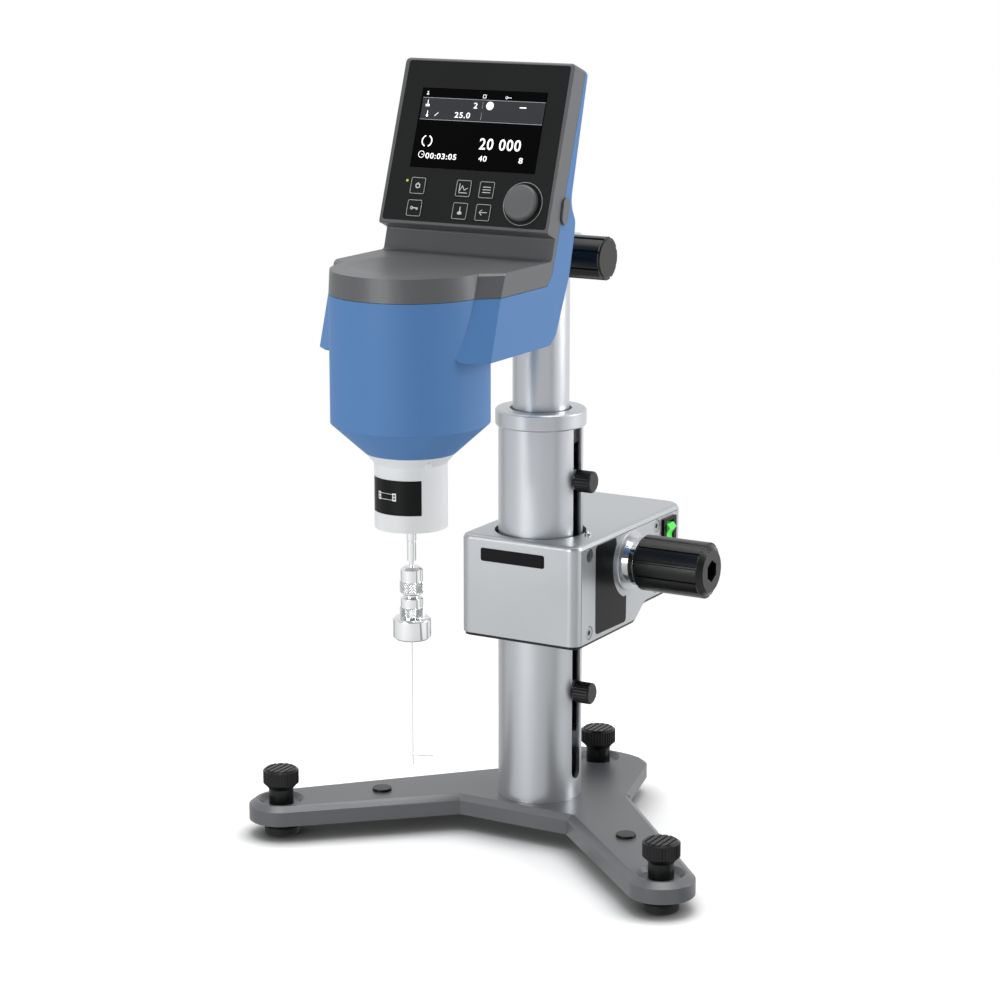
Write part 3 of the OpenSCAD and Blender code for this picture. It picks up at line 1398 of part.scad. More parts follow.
placed() base();
placed() leg_caps();
placed() outer_tube();
placed() rack();
placed() collar();
placed() guide_bush();
placed() foot_screw(foot_places[0]);  // foot_screw_left
placed() foot_screw(foot_places[1]);  // foot_screw_right
placed() foot_screw(foot_places[2]);  // foot_screw_rear
placed() foot_pad(foot_places[0]);  // foot_pad_left
placed() foot_pad(foot_places[1]);  // foot_pad_right
placed() foot_pad(foot_places[2]);  // foot_pad_rear
placed() stop(upper_stop_z);  // upper_stop
placed() stop_knob(upper_stop_z);  // upper_stop_knob
placed() stop(lower_stop_z);  // lower_stop
placed() stop_knob(lower_stop_z);  // lower_stop_knob
placed() inner_tube();
placed() clamp_block();
placed() clamp_knob();
placed() slide_link();
placed() drive_housing();
placed() side_cover();
placed() bottom_cover();
placed() cover_screws();
placed() knob_flange();
placed() gear_frame();
placed() lift_motor();
placed() switch_bezel();
placed() rocker();
placed() power_inlet();
placed() upper_limit_pin();
placed() lower_limit_pin();
placed() pinion_shaft();
placed() drive_wheel();
placed() motor_pinion();
placed() release_knob();
placed() head_housing();
placed() top_cover();
placed() front_panel();
placed() display();
placed() side_clip();
placed() extension_rod();
placed() chassis_plate();
placed() drive_motor();
placed() circuit_board();
placed() shaft_guard();
placed() spindle_bearings();
placed() menu_knob();
placed() key(0);  // power_key
placed() key(1);  // lock_key
placed() key(2);  // graph_key
placed() key(3);  // menu_key
placed() key(4);  // spindle_key
placed() key(5);  // back_key
placed() drive_cage();
placed() torsion_spring();
placed() measuring_shaft();
placed() encoder_disc();
placed() coupling_nut();
placed() t_spindle();
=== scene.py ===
import json
import math

import bmesh
import bpy
from mathutils import Matrix, Vector


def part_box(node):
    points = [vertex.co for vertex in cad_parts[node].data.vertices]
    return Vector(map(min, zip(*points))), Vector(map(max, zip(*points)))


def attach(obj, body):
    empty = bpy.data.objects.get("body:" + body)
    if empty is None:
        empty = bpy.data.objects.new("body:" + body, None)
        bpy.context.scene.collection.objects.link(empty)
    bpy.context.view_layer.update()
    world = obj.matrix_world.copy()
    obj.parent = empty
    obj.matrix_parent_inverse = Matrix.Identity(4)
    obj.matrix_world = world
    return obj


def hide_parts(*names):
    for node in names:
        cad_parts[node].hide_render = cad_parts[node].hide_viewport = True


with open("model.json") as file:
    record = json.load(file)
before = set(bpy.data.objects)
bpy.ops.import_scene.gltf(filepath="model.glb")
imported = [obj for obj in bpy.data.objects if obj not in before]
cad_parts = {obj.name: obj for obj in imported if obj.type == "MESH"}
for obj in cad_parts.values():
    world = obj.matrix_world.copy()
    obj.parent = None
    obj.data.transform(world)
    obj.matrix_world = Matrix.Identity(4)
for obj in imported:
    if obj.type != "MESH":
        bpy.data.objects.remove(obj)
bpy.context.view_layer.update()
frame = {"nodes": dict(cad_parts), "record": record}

# The instrument stands on a white bench and is seen from its front right, a little from above.
# The lens is long, as for a catalogue picture, and the view is taken as 1000 by 1000.
lens = 99.2
turned_right = 29.874
looking_down = 12.817
studio = bpy.context.scene
studio.view_settings.view_transform = "Standard"
camera = bpy.data.objects.new("camera", bpy.data.cameras.new("camera"))
camera.data.sensor_width = 36.0
camera.data.lens = lens
camera.data.clip_end = 50.0
camera.location = (0.9225, -1.6157, 0.6744)
camera.rotation_euler = (math.radians(90 - looking_down), 0, math.radians(turned_right))
studio.collection.objects.link(camera)
studio.camera = camera

# The bench is a wide white sheet that keeps the object's soft shadow from the lamps. Near the object
# an ambient-occlusion node darkens it more, as painted contact shadow. Seen straight it is white
# away from the object, and it throws a little pale light back. In a polished face it shows painted
# reflections of white and dark cards, dimmed near the object as painted shade.
bench_size = 16.0
bench_mesh = bmesh.new()
bmesh.ops.create_grid(bench_mesh, x_segments=1, y_segments=1, size=bench_size / 2)
bench_data = bpy.data.meshes.new("bench")
bench_mesh.to_mesh(bench_data)
bench_mesh.free()
bench = bpy.data.objects.new("bench", bench_data)
studio.collection.objects.link(bench)
bench_paint = bpy.data.materials.new("bench")
bench_paint.use_nodes = True
nodes = bench_paint.node_tree.nodes
links = bench_paint.node_tree.links
nodes.clear()
sheet_out = nodes.new("ShaderNodeOutputMaterial")
sheet_mix = nodes.new("ShaderNodeMixShader")
sheet_fade = nodes.new("ShaderNodeMixShader")
sheet_rays = nodes.new("ShaderNodeLightPath")
sheet_seen = nodes.new("ShaderNodeMath")
sheet_seen.operation = "ADD"
sheet_seen.use_clamp = True
# An ambient-occlusion node darkens the sheet under and beside the object: painted contact shadow.
sheet_painted_shadow = nodes.new("ShaderNodeAmbientOcclusion")
sheet_painted_shadow.samples = 12
sheet_painted_shadow.inputs["Distance"].default_value = 0.024
sheet_painted_shadow.inputs["Color"].default_value = (1.1, 1.1, 1.1, 1)
sheet_shade = nodes.new("ShaderNodeBsdfDiffuse")
sheet_glow = nodes.new("ShaderNodeEmission")
sheet_glow.inputs["Color"].default_value = (1, 1, 1, 1)
sheet_plain = nodes.new("ShaderNodeBsdfDiffuse")
sheet_plain.inputs["Color"].default_value = (0.55, 0.55, 0.55, 1)
sheet_place = nodes.new("ShaderNodeTexCoord")
sheet_reach = nodes.new("ShaderNodeVectorMath")
sheet_reach.operation = "LENGTH"
sheet_range = nodes.new("ShaderNodeMapRange")
sheet_range.inputs["From Min"].default_value = 0.28
sheet_range.inputs["From Max"].default_value = 0.6
sheet_axes = nodes.new("ShaderNodeSeparateXYZ")
sheet_turn = nodes.new("ShaderNodeMath")
sheet_turn.operation = "ARCTAN2"
sheet_way = nodes.new("ShaderNodeMapRange")
sheet_way.inputs["From Min"].default_value = -math.pi
sheet_way.inputs["From Max"].default_value = math.pi
sheet_cards = nodes.new("ShaderNodeValToRGB")
# Levels of the painted reflections of cards, by direction round the object.
cards = ((-180, 0.8), (-150, 0.9), (-107, 1.1), (-80, 1.0), (-60, 0.9), (-38, 0.84), (-22, 0.9),
         (-17, 0.3), (-11, 0.3), (-5, 1.05), (26, 1.05), (33, 0.5), (42, 0.5), (54, 1.05),
         (80, 1.05), (165, 0.8), (172, 0.3))


def paint_reflection_cards(ramp):
    """Sets the white and dark cards by direction in degrees: painted reflections, seen only in
    polished faces.
    """
    while len(ramp.elements) < len(cards):
        ramp.elements.new(0.5)
    for element, (turn, level) in zip(ramp.elements, cards):
        element.position = (turn + 180) / 360
        element.color = (level, level, level, 1)


paint_reflection_cards(sheet_cards.color_ramp)
sheet_bright = nodes.new("ShaderNodeMath")
sheet_bright.operation = "MAXIMUM"
links.new(sheet_place.outputs["Object"], sheet_axes.inputs[0])
links.new(sheet_axes.outputs["Y"], sheet_turn.inputs[0])
links.new(sheet_axes.outputs["X"], sheet_turn.inputs[1])
links.new(sheet_turn.outputs[0], sheet_way.inputs["Value"])
links.new(sheet_way.outputs[0], sheet_cards.inputs["Fac"])
# Near the object the glow that polished faces see is dimmed: painted shade in the reflected bench.
sheet_dim = nodes.new("ShaderNodeMapRange")
sheet_dim.inputs["From Min"].default_value = 0.15
sheet_dim.inputs["From Max"].default_value = 0.7
sheet_dim.inputs["To Min"].default_value = 0.75
sheet_level = nodes.new("ShaderNodeMath")
sheet_level.operation = "MULTIPLY"
sheet_far = nodes.new("ShaderNodeMath")
sheet_far.operation = "MAXIMUM"
links.new(sheet_reach.outputs["Value"], sheet_dim.inputs["Value"])
links.new(sheet_cards.outputs["Color"], sheet_level.inputs[0])
links.new(sheet_dim.outputs[0], sheet_level.inputs[1])
links.new(sheet_level.outputs[0], sheet_bright.inputs[0])
links.new(sheet_rays.outputs["Is Camera Ray"], sheet_bright.inputs[1])
links.new(sheet_bright.outputs[0], sheet_glow.inputs["Strength"])
links.new(sheet_painted_shadow.outputs["Color"], sheet_shade.inputs["Color"])
links.new(sheet_place.outputs["Object"], sheet_reach.inputs[0])
links.new(sheet_reach.outputs["Value"], sheet_range.inputs["Value"])
links.new(sheet_range.outputs[0], sheet_far.inputs[0])
links.new(sheet_rays.outputs["Is Glossy Ray"], sheet_far.inputs[1])
links.new(sheet_far.outputs[0], sheet_fade.inputs["Fac"])
links.new(sheet_shade.outputs[0], sheet_fade.inputs[1])
links.new(sheet_glow.outputs[0], sheet_fade.inputs[2])
links.new(sheet_rays.outputs["Is Glossy Ray"], sheet_seen.inputs[0])
links.new(sheet_rays.outputs["Is Camera Ray"], sheet_seen.inputs[1])
links.new(sheet_seen.outputs[0], sheet_mix.inputs["Fac"])
links.new(sheet_plain.outputs[0], sheet_mix.inputs[1])
links.new(sheet_fade.outputs[0], sheet_mix.inputs[2])
links.new(sheet_mix.outputs[0], sheet_out.inputs["Surface"])
bench_data.materials.append(bench_paint)

# A white tent stands behind the bench and over it, and is left open and dim towards the camera.
# The camera sees it plain white. Polished faces also see painted reflections of the cards low in it,
# which light nothing else.
tent = bpy.data.worlds.new("tent")
studio.world = tent
tent.use_nodes = True
nodes = tent.node_tree.nodes
links = tent.node_tree.links
nodes.clear()
tent_out = nodes.new("ShaderNodeOutputWorld")
tent_mix = nodes.new("ShaderNodeMixShader")
tent_rays = nodes.new("ShaderNodeLightPath")
tent_white = nodes.new("ShaderNodeBackground")
tent_white.inputs["Color"].default_value = (1, 1, 1, 1)
tent_white.inputs["Strength"].default_value = 1.0
tent_light = nodes.new("ShaderNodeBackground")
tent_light.inputs["Strength"].default_value = 0.88
tent_way = nodes.new("ShaderNodeTexCoord")
tent_back = nodes.new("ShaderNodeVectorMath")
tent_back.operation = "DOT_PRODUCT"
tent_back.inputs[1].default_value = (-0.43, 0.78, 0.45)
tent_ramp = nodes.new("ShaderNodeValToRGB")
tent_ramp.color_ramp.elements[0].position = 0.36
tent_ramp.color_ramp.elements[0].color = (0.22, 0.22, 0.22, 1)
tent_ramp.color_ramp.elements[1].position = 0.66
tent_ramp.color_ramp.elements[1].color = (1, 1, 1, 1)
tent_range = nodes.new("ShaderNodeMapRange")
tent_range.inputs["From Min"].default_value = -1.0
tent_axes = nodes.new("ShaderNodeSeparateXYZ")
tent_turn = nodes.new("ShaderNodeMath")
tent_turn.operation = "ARCTAN2"
tent_side = nodes.new("ShaderNodeMapRange")
tent_side.inputs["From Min"].default_value = -math.pi
tent_side.inputs["From Max"].default_value = math.pi
tent_cards = nodes.new("ShaderNodeValToRGB")
paint_reflection_cards(tent_cards.color_ramp)
tent_low = nodes.new("ShaderNodeMapRange")
tent_low.inputs["From Min"].default_value = 0.26
tent_low.inputs["From Max"].default_value = 0.06
tent_shown = nodes.new("ShaderNodeMath")
tent_shown.operation = "MULTIPLY"
tent_scaled = nodes.new("ShaderNodeVectorMath")
tent_scaled.operation = "SCALE"
tent_most = nodes.new("ShaderNodeVectorMath")
tent_most.operation = "MAXIMUM"
links.new(tent_way.outputs["Generated"], tent_axes.inputs[0])
links.new(tent_axes.outputs["Y"], tent_turn.inputs[0])
links.new(tent_axes.outputs["X"], tent_turn.inputs[1])
links.new(tent_turn.outputs[0], tent_side.inputs["Value"])
links.new(tent_side.outputs[0], tent_cards.inputs["Fac"])
links.new(tent_axes.outputs["Z"], tent_low.inputs["Value"])
links.new(tent_low.outputs[0], tent_shown.inputs[0])
links.new(tent_rays.outputs["Is Glossy Ray"], tent_shown.inputs[1])
links.new(tent_cards.outputs["Color"], tent_scaled.inputs[0])
links.new(tent_shown.outputs[0], tent_scaled.inputs["Scale"])
links.new(tent_way.outputs["Generated"], tent_back.inputs[0])
links.new(tent_back.outputs["Value"], tent_range.inputs["Value"])
links.new(tent_range.outputs[0], tent_ramp.inputs["Fac"])
links.new(tent_ramp.outputs["Color"], tent_most.inputs[0])
links.new(tent_scaled.outputs[0], tent_most.inputs[1])
links.new(tent_most.outputs[0], tent_light.inputs["Color"])
links.new(tent_rays.outputs["Is Camera Ray"], tent_mix.inputs["Fac"])
links.new(tent_light.outputs[0], tent_mix.inputs[1])
links.new(tent_white.outputs[0], tent_mix.inputs[2])
links.new(tent_mix.outputs[0], tent_out.inputs["Surface"])


# Three softboxes light the instrument: a wide one overhead, one from the front left and a tall
# narrow one from the right that draws the light bands on the tubes.
def softbox(name, place, target, width, height, power):
    lamp = bpy.data.lights.new(name, "AREA")
    lamp.shape = "RECTANGLE"
    lamp.size = width
    lamp.size_y = height
    lamp.energy = power
    holder = bpy.data.objects.new(name, lamp)
    holder.location = place
    aim = Vector(target) - Vector(place)
    holder.rotation_euler = aim.to_track_quat("-Z", "Y").to_euler()
    studio.collection.objects.link(holder)


softbox("top softbox", (0.0, 0.1, 2.0), (0, 0, 0.3), 1.5, 1.5, 22)
softbox("front softbox", (-0.35, -2.2, 0.55), (0, 0, 0.35), 1.2, 0.8, 22)
softbox("right softbox", (1.75, 1.2, 0.8), (0, 0, 0.3), 0.6, 1.3, 26)


# The base is one iron casting, painted dark grey with a fine orange-peel skin. Its top edge is
# bevelled all round. Two black caps close the threaded holes in the front legs.
def paint(code):
    """Linear colour of a six-figure sRGB code."""
    parts = [int(code[i:i + 2], 16) / 255 for i in (0, 2, 4)]
    return tuple(p / 12.92 if p <= 0.04045 else ((p + 0.055) / 1.055) ** 2.4 for p in parts) + (1,)


def skin_group():
    """Shader group for a made surface: slow patches of tone and a fine grain."""
    group = bpy.data.node_groups.new("made surface", "ShaderNodeTree")
    ports = group.interface
    for name, kind, value in (
            ("Color", "NodeSocketColor", (0.5, 0.5, 0.5, 1)),
            ("Mottle", "NodeSocketFloat", 0.04),
            ("Patch Scale", "NodeSocketFloat", 18.0),
            ("Grain Scale", "NodeSocketFloat", 2500.0),
            ("Stretch", "NodeSocketVector", (1, 1, 1)),
            ("Roughness", "NodeSocketFloat", 0.4),
            ("Spread", "NodeSocketFloat", 0.08)):
        ports.new_socket(name, in_out="INPUT", socket_type=kind).default_value = value
    ports.new_socket("Color", in_out="OUTPUT", socket_type="NodeSocketColor")
    ports.new_socket("Roughness", in_out="OUTPUT", socket_type="NodeSocketFloat")
    ports.new_socket("Height", in_out="OUTPUT", socket_type="NodeSocketFloat")
    add = group.nodes.new
    join = group.links.new
    given = add("NodeGroupInput")
    result = add("NodeGroupOutput")
    place = add("ShaderNodeTexCoord")
    stretched = add("ShaderNodeVectorMath")
    stretched.operation = "MULTIPLY"
    join(place.outputs["Object"], stretched.inputs[0])
    join(given.outputs["Stretch"], stretched.inputs[1])
    patch = add("ShaderNodeTexNoise")
    patch.inputs["Detail"].default_value = 3
    join(stretched.outputs[0], patch.inputs["Vector"])
    join(given.outputs["Patch Scale"], patch.inputs["Scale"])
    grain = add("ShaderNodeTexNoise")
    grain.inputs["Detail"].default_value = 2
    join(stretched.outputs[0], grain.inputs["Vector"])
    join(given.outputs["Grain Scale"], grain.inputs["Scale"])
    blend = add("ShaderNodeMath")
    blend.operation = "ADD"
    join(patch.outputs["Fac"], blend.inputs[0])
    join(grain.outputs["Fac"], blend.inputs[1])
    centred = add("ShaderNodeMath")
    centred.operation = "SUBTRACT"
    centred.inputs[1].default_value = 1.0
    join(blend.outputs[0], centred.inputs[0])
    tone = add("ShaderNodeMath")
    tone.operation = "MULTIPLY_ADD"
    tone.inputs[2].default_value = 1.0
    join(centred.outputs[0], tone.inputs[0])
    join(given.outputs["Mottle"], tone.inputs[1])
    tinted = add("ShaderNodeVectorMath")
    tinted.operation = "SCALE"
    join(given.outputs["Color"], tinted.inputs[0])
    join(tone.outputs[0], tinted.inputs["Scale"])
    rough = add("ShaderNodeMath")
    rough.operation = "MULTIPLY_ADD"
    join(centred.outputs[0], rough.inputs[0])
    join(given.outputs["Spread"], rough.inputs[1])
    join(given.outputs["Roughness"], rough.inputs[2])
    join(tinted.outputs[0], result.inputs["Color"])
    join(rough.outputs[0], result.inputs["Roughness"])
    join(grain.outputs["Fac"], result.inputs["Height"])
    return group


made_surface = skin_group()


def finish(name, code, roughness, mottle=0.05, patch=16, grain=2500, depth=0.00003, relief=0.25,
           stretch=(1, 1, 1), spread=0.1, metallic=0.0, specular=0.5, glow=0.0):
    """A material whose tone, gloss and relief come from the made surface group."""
    material = bpy.data.materials.new(name)
    material.use_nodes = True
    tree = material.node_tree
    shader = tree.nodes["Principled BSDF"]
    skin = tree.nodes.new("ShaderNodeGroup")
    skin.node_tree = made_surface
    skin.inputs["Color"].default_value = paint(code)
    skin.inputs["Mottle"].default_value = mottle
    skin.inputs["Patch Scale"].default_value = patch
    skin.inputs["Grain Scale"].default_value = grain
    skin.inputs["Stretch"].default_value = stretch
    skin.inputs["Roughness"].default_value = roughness
    skin.inputs["Spread"].default_value = spread
    bump = tree.nodes.new("ShaderNodeBump")
    bump.inputs["Strength"].default_value = relief
    bump.inputs["Distance"].default_value = depth
    tree.links.new(skin.outputs["Height"], bump.inputs["Height"])
    tree.links.new(skin.outputs["Color"], shader.inputs["Base Color"])
    tree.links.new(skin.outputs["Roughness"], shader.inputs["Roughness"])
    tree.links.new(bump.outputs["Normal"], shader.inputs["Normal"])
    shader.inputs["Metallic"].default_value = metallic
    shader.inputs["Specular IOR Level"].default_value = specular
    if glow:
        tree.links.new(skin.outputs["Color"], shader.inputs["Emission Color"])
        shader.inputs["Emission Strength"].default_value = glow
    return material


home = {node: body for body, group in frame["record"]["behaviour"]["bodies"].items()
        for node in group}


def finished(node, material, edge=0.0004, sharp=32, steps=2, shaped=None):
    """A node's shape with round faces shaded smooth and sharp edges broken by edge, in metres."""
    shape = bmesh.new()
    shape.from_mesh(frame["nodes"][node].data)
    bmesh.ops.remove_doubles(shape, verts=shape.verts, dist=1e-6)
    bmesh.ops.dissolve_limit(shape, angle_limit=math.radians(0.6), verts=shape.verts,
                             edges=shape.edges)
    if shaped:
        shaped(shape)
    for face in shape.faces:
        face.smooth = True
    for line in shape.edges:
        line.smooth = line.is_manifold and line.calc_face_angle(0) < math.radians(sharp)
    mesh = bpy.data.meshes.new(node + "_made")
    shape.to_mesh(mesh)
    shape.free()
    mesh.materials.append(material)
    piece = bpy.data.objects.new(node + "_made", mesh)
    studio.collection.objects.link(piece)
    if edge:
        rounding = piece.modifiers.new("broken edges", "BEVEL")
        rounding.width = edge
        rounding.segments = steps
        rounding.limit_method = "ANGLE"
        rounding.angle_limit = math.radians(sharp)
        rounding.harden_normals = True
    weighting = piece.modifiers.new("flat faces", "WEIGHTED_NORMAL")
    weighting.keep_sharp = True
    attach(piece, home[node])
    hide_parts(node)
    return piece


cast_paint = finish("cast grey paint", "505256", 0.34, mottle=0.05, grain=1500, depth=0.00008,
                    relief=0.3, specular=1.0)
black_moulding = finish("black moulding", "0D0E0F", 0.3, grain=1800, depth=0.00005, relief=0.25,
                        specular=0.35)
finished("base", cast_paint, edge=0.0009, sharp=20, steps=3)
finished("leg_caps", black_moulding, edge=0.0005)

# Each foot is a knurled black knob moulded on a steel screw. The screw ends in a rubber pad
# that swivels a little on the bench.
rubber = finish("black rubber", "131415", 0.62, mottle=0.12, grain=1200, depth=0.00006,
                relief=0.35, specular=0.3)
for side in ("left", "right", "rear"):
    finished("foot_screw_" + side, black_moulding, edge=0.00025, sharp=40)
    finished("foot_pad_" + side, rubber, edge=0.0005)

# The column is two drawn aluminium tubes, blasted and anodised. Drawing leaves faint lines
# along them. The outer one has the stop slot on its right and the rack in its rear.
anodised = finish("anodised tube", "C2C5C9", 0.34, mottle=0.05, patch=30, grain=1400,
                  stretch=(1, 1, 0.02), depth=0.00001, relief=0.12, metallic=0.85, specular=0.5)
steel = finish("ground steel", "A4A7AB", 0.3, mottle=0.08, grain=2200, stretch=(1, 1, 0.1),
               depth=0.00001, relief=0.2, metallic=1.0)
tube_low, tube_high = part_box("outer_tube")
finished("outer_tube", anodised, edge=0.0003)
finished("inner_tube", anodised, edge=0.0003)
collar = finished("collar", anodised, edge=0.0003)
# Below the top of the outer tube, the collar's spigot shows through the stop slot. It is given the
# black moulding as painted shade there.
collar.data.materials.append(black_moulding)
for face in collar.data.polygons:
    if face.center.z < tube_high.z - 0.0001:
        face.material_index = 1
finished("guide_bush", black_moulding, edge=0.0003)
finished("rack", steel, edge=0)

# The far wall of the stop slot is lit along its whole length. That light is painted: a thin pale
# strip is let into the side of the slot.
tube_r = 0.03
slot_half = 0.0059
lip_depth = 0.0014
lip_width = 0.00016
lip_inset = 0.00004
lip_low = tube_low.z + 0.046
lip_high = tube_high.z - 0.0005
slot_edge_x = math.sqrt(tube_r ** 2 - slot_half ** 2)
tube_y = (tube_low.y + tube_high.y) / 2
# A pale paint on the strip stands in for the light on the slot's far wall.
slot_light_paint = finish("painted slot light", "D8DADC", 0.45, mottle=0.05, stretch=(1, 1, 0.05))


def made(name, shape, material, body):
    """Makes a finished shape a piece of its own, which rides on a body."""
    mesh = bpy.data.meshes.new(name)
    shape.to_mesh(mesh)
    shape.free()
    mesh.materials.append(material)
    piece = bpy.data.objects.new(name, mesh)
    studio.collection.objects.link(piece)
    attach(piece, body)


lip = bmesh.new()
bmesh.ops.create_cube(lip, size=1, matrix=Matrix.Translation(
    (slot_edge_x - lip_depth / 2, tube_y + slot_half - lip_inset, (lip_low + lip_high) / 2))
    @ Matrix.Diagonal((lip_depth, lip_width, lip_high - lip_low, 1)))
made("slot_light_strip", lip, slot_light_paint, home["outer_tube"])

# The stops set how far the box may travel. Each is a steel nut behind the slot, with a stud
# that carries a small knurled black knob.
for stop in ("upper_stop", "lower_stop"):
    finished(stop, steel, edge=0.0002)
    finished(stop + "_knob", black_moulding, edge=0.0002, sharp=45)

# The drive box is a milled aluminium housing, blasted and painted silver. A flat cover closes
# its right side with four screws, and a dark plate closes it below.
silver_paint = finish("silver paint", "B5B8BB", 0.36, mottle=0.04, grain=3000, depth=0.00002,
                      relief=0.2, metallic=0.8, specular=0.5)
finished("drive_housing", silver_paint, edge=0.0005, sharp=28)
finished("side_cover", silver_paint, edge=0.0003)
finished("bottom_cover", black_moulding, edge=0.0005)
finished("cover_screws", steel, edge=0.00015)
for inner in ("gear_frame", "pinion_shaft", "motor_pinion", "slide_link"):
    finished(inner, steel, edge=0.0002)
brass = finish("brass", "C9A24C", 0.3, mottle=0.08, grain=1800, metallic=1.0)
motor_paint = finish("motor paint", "2B2D30", 0.45)
finished("drive_wheel", brass, edge=0)
finished("lift_motor", motor_paint, edge=0.0005)

# Two black plates are set on the box, one on its front and one beside the knob. They are thin
# plain stickers with rounded corners.
gloss_black = finish("gloss black", "101112", 0.3, mottle=0.04, grain=900, relief=0.05,
                     specular=0.12)
sticker = 0.00015
column_y = (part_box("outer_tube")[0].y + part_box("outer_tube")[1].y) / 2
box_low, box_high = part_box("drive_housing")


def plate(name, corners, radii, matrix, material, body):
    """A thin flat plate: its corners are rounded, and it is raised along its own Z."""
    shape = bmesh.new()
    points = [shape.verts.new((x, y, 0)) for x, y in corners]
    shape.faces.new(points)
    for point, radius in zip(points, radii):
        if radius:
            bmesh.ops.bevel(shape, geom=[point], offset=radius, offset_type="OFFSET", segments=6,
                            profile=0.5, affect="VERTICES", material=-1)
    risen = bmesh.ops.extrude_face_region(shape, geom=shape.faces[:])["geom"]
    bmesh.ops.translate(shape, verts=[v for v in risen if isinstance(v, bmesh.types.BMVert)],
                        vec=(0, 0, sticker))
    bmesh.ops.recalc_face_normals(shape, faces=shape.faces)
    shape.transform(matrix)
    made(name, shape, material, body)


pressed_in = 0.00002
front_face = (Matrix.Translation((0, box_low.y + pressed_in, 0))
              @ Matrix.Rotation(math.radians(90), 4, "X"))
plate("front_plate", [(-0.027, 0.2025), (0.024, 0.2025), (0.024, 0.212), (-0.027, 0.212)],
      (0.0016,) * 4, front_face, gloss_black, "carriage")
side_face = (Matrix.Translation((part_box("side_cover")[1].x - pressed_in, column_y, 0))
             @ Matrix.Rotation(math.radians(90), 4, "Z") @ Matrix.Rotation(math.radians(90), 4, "X"))
knob_y = (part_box("release_knob")[0].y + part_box("release_knob")[1].y) / 2 - column_y
knob_z = (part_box("release_knob")[0].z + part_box("release_knob")[1].z) / 2
cutout_r = 0.0265
around = [(knob_y + cutout_r * math.cos(math.radians(a)),
           knob_z + cutout_r * math.sin(math.radians(a))) for a in range(142, 256, 6)]
plate("side_plate", [(0.0199, 0.2161), (-0.0106, 0.2161), (-0.0102, 0.1520), (0.0362, 0.1510),
                     (0.0365, 0.1706)] + around[::-1],
      (0.001, 0.0035, 0.003, 0.003, 0.001), side_face, gloss_black, "carriage")

# The release knob is a deeply ribbed black moulding on a chromed flange. Turning it back lets
# the box be slid by hand.
chrome = finish("chrome", "C2C4C6", 0.1, mottle=0.02, grain=1500, relief=0.05, metallic=1.0)
finished("knob_flange", chrome, edge=0.0003)
finished("release_knob", black_moulding, edge=0.0005, sharp=26)

# A turned aluminium ring lies round the foot of the flange. Its outline gives radius and
# height, and is spun about the knob's axis.
flange_axis = Vector((box_high.x, column_y + knob_y, knob_z))
flange_steps = ((0.0150, 0.0), (0.0218, 0.0), (0.0218, 0.0010), (0.0211, 0.0017),
                (0.0150, 0.0017))
turning_angle = math.radians(30)
ring = bmesh.new()
corners = [ring.verts.new((out, radius, 0)) for radius, out in flange_steps]
rims = [ring.edges.new((corners[i - 1], corners[i])) for i in range(len(corners))]
bmesh.ops.spin(ring, geom=corners + rims, cent=(0, 0, 0), axis=(1, 0, 0),
               angle=math.radians(360), steps=96, use_merge=True)
bmesh.ops.recalc_face_normals(ring, faces=ring.faces)
for face in ring.faces:
    face.smooth = True
for line in ring.edges:
    line.smooth = line.calc_face_angle(0) < turning_angle
ring.transform(Matrix.Translation(flange_axis))
made("flange_ring", ring, anodised, home["knob_flange"])

# The mains switch is a green rocker in a black snap-in bezel. The power jack sits in the rear.
green = finish("green rocker", "46D348", 0.3, mottle=0.03, glow=0.25)
finished("switch_bezel", gloss_black, edge=0.0004)
finished("rocker", green, edge=0.0004)
finished("power_inlet", gloss_black, edge=0.0002)

# Spring-loaded pins stand out of the box above and below, and stop the motor at a stop.
for pin in ("upper_limit_pin", "lower_limit_pin"):
    finished(pin, chrome, edge=0.0002)

# On the inner tube sits the clamp block. It grips the rod at the back of the head, and is
# tightened by a fluted black knob.
finished("clamp_block", anodised, edge=0.0006)
finished("clamp_knob", black_moulding, edge=0.0006, sharp=26)
finished("extension_rod", steel, edge=0.0003)

# The head is a blue lower housing, moulded in a tough plastic with a fine satin texture.
# A grey top cover closes it, and runs up into the bezel of the display.
blue_moulding = finish("blue moulding", "4E7BB0", 0.55, mottle=0.03, patch=12, grain=2600,
                       depth=0.00002, relief=0.15, specular=0.3)
grey_moulding = finish("grey moulding", "535557", 0.42, mottle=0.04, patch=12, grain=2600,
                       depth=0.00003, relief=0.2, specular=0.5)
mm = 0.001
panel_tilt = 19.2
panel = (Matrix.Translation((0, column_y - 86.6 * mm, 509 * mm))
         @ Matrix.Rotation(math.radians(90 - panel_tilt), 4, "X"))
hood_half = 64.5 * mm
hood_top = 47.8 * mm
hood_round = 4 * mm


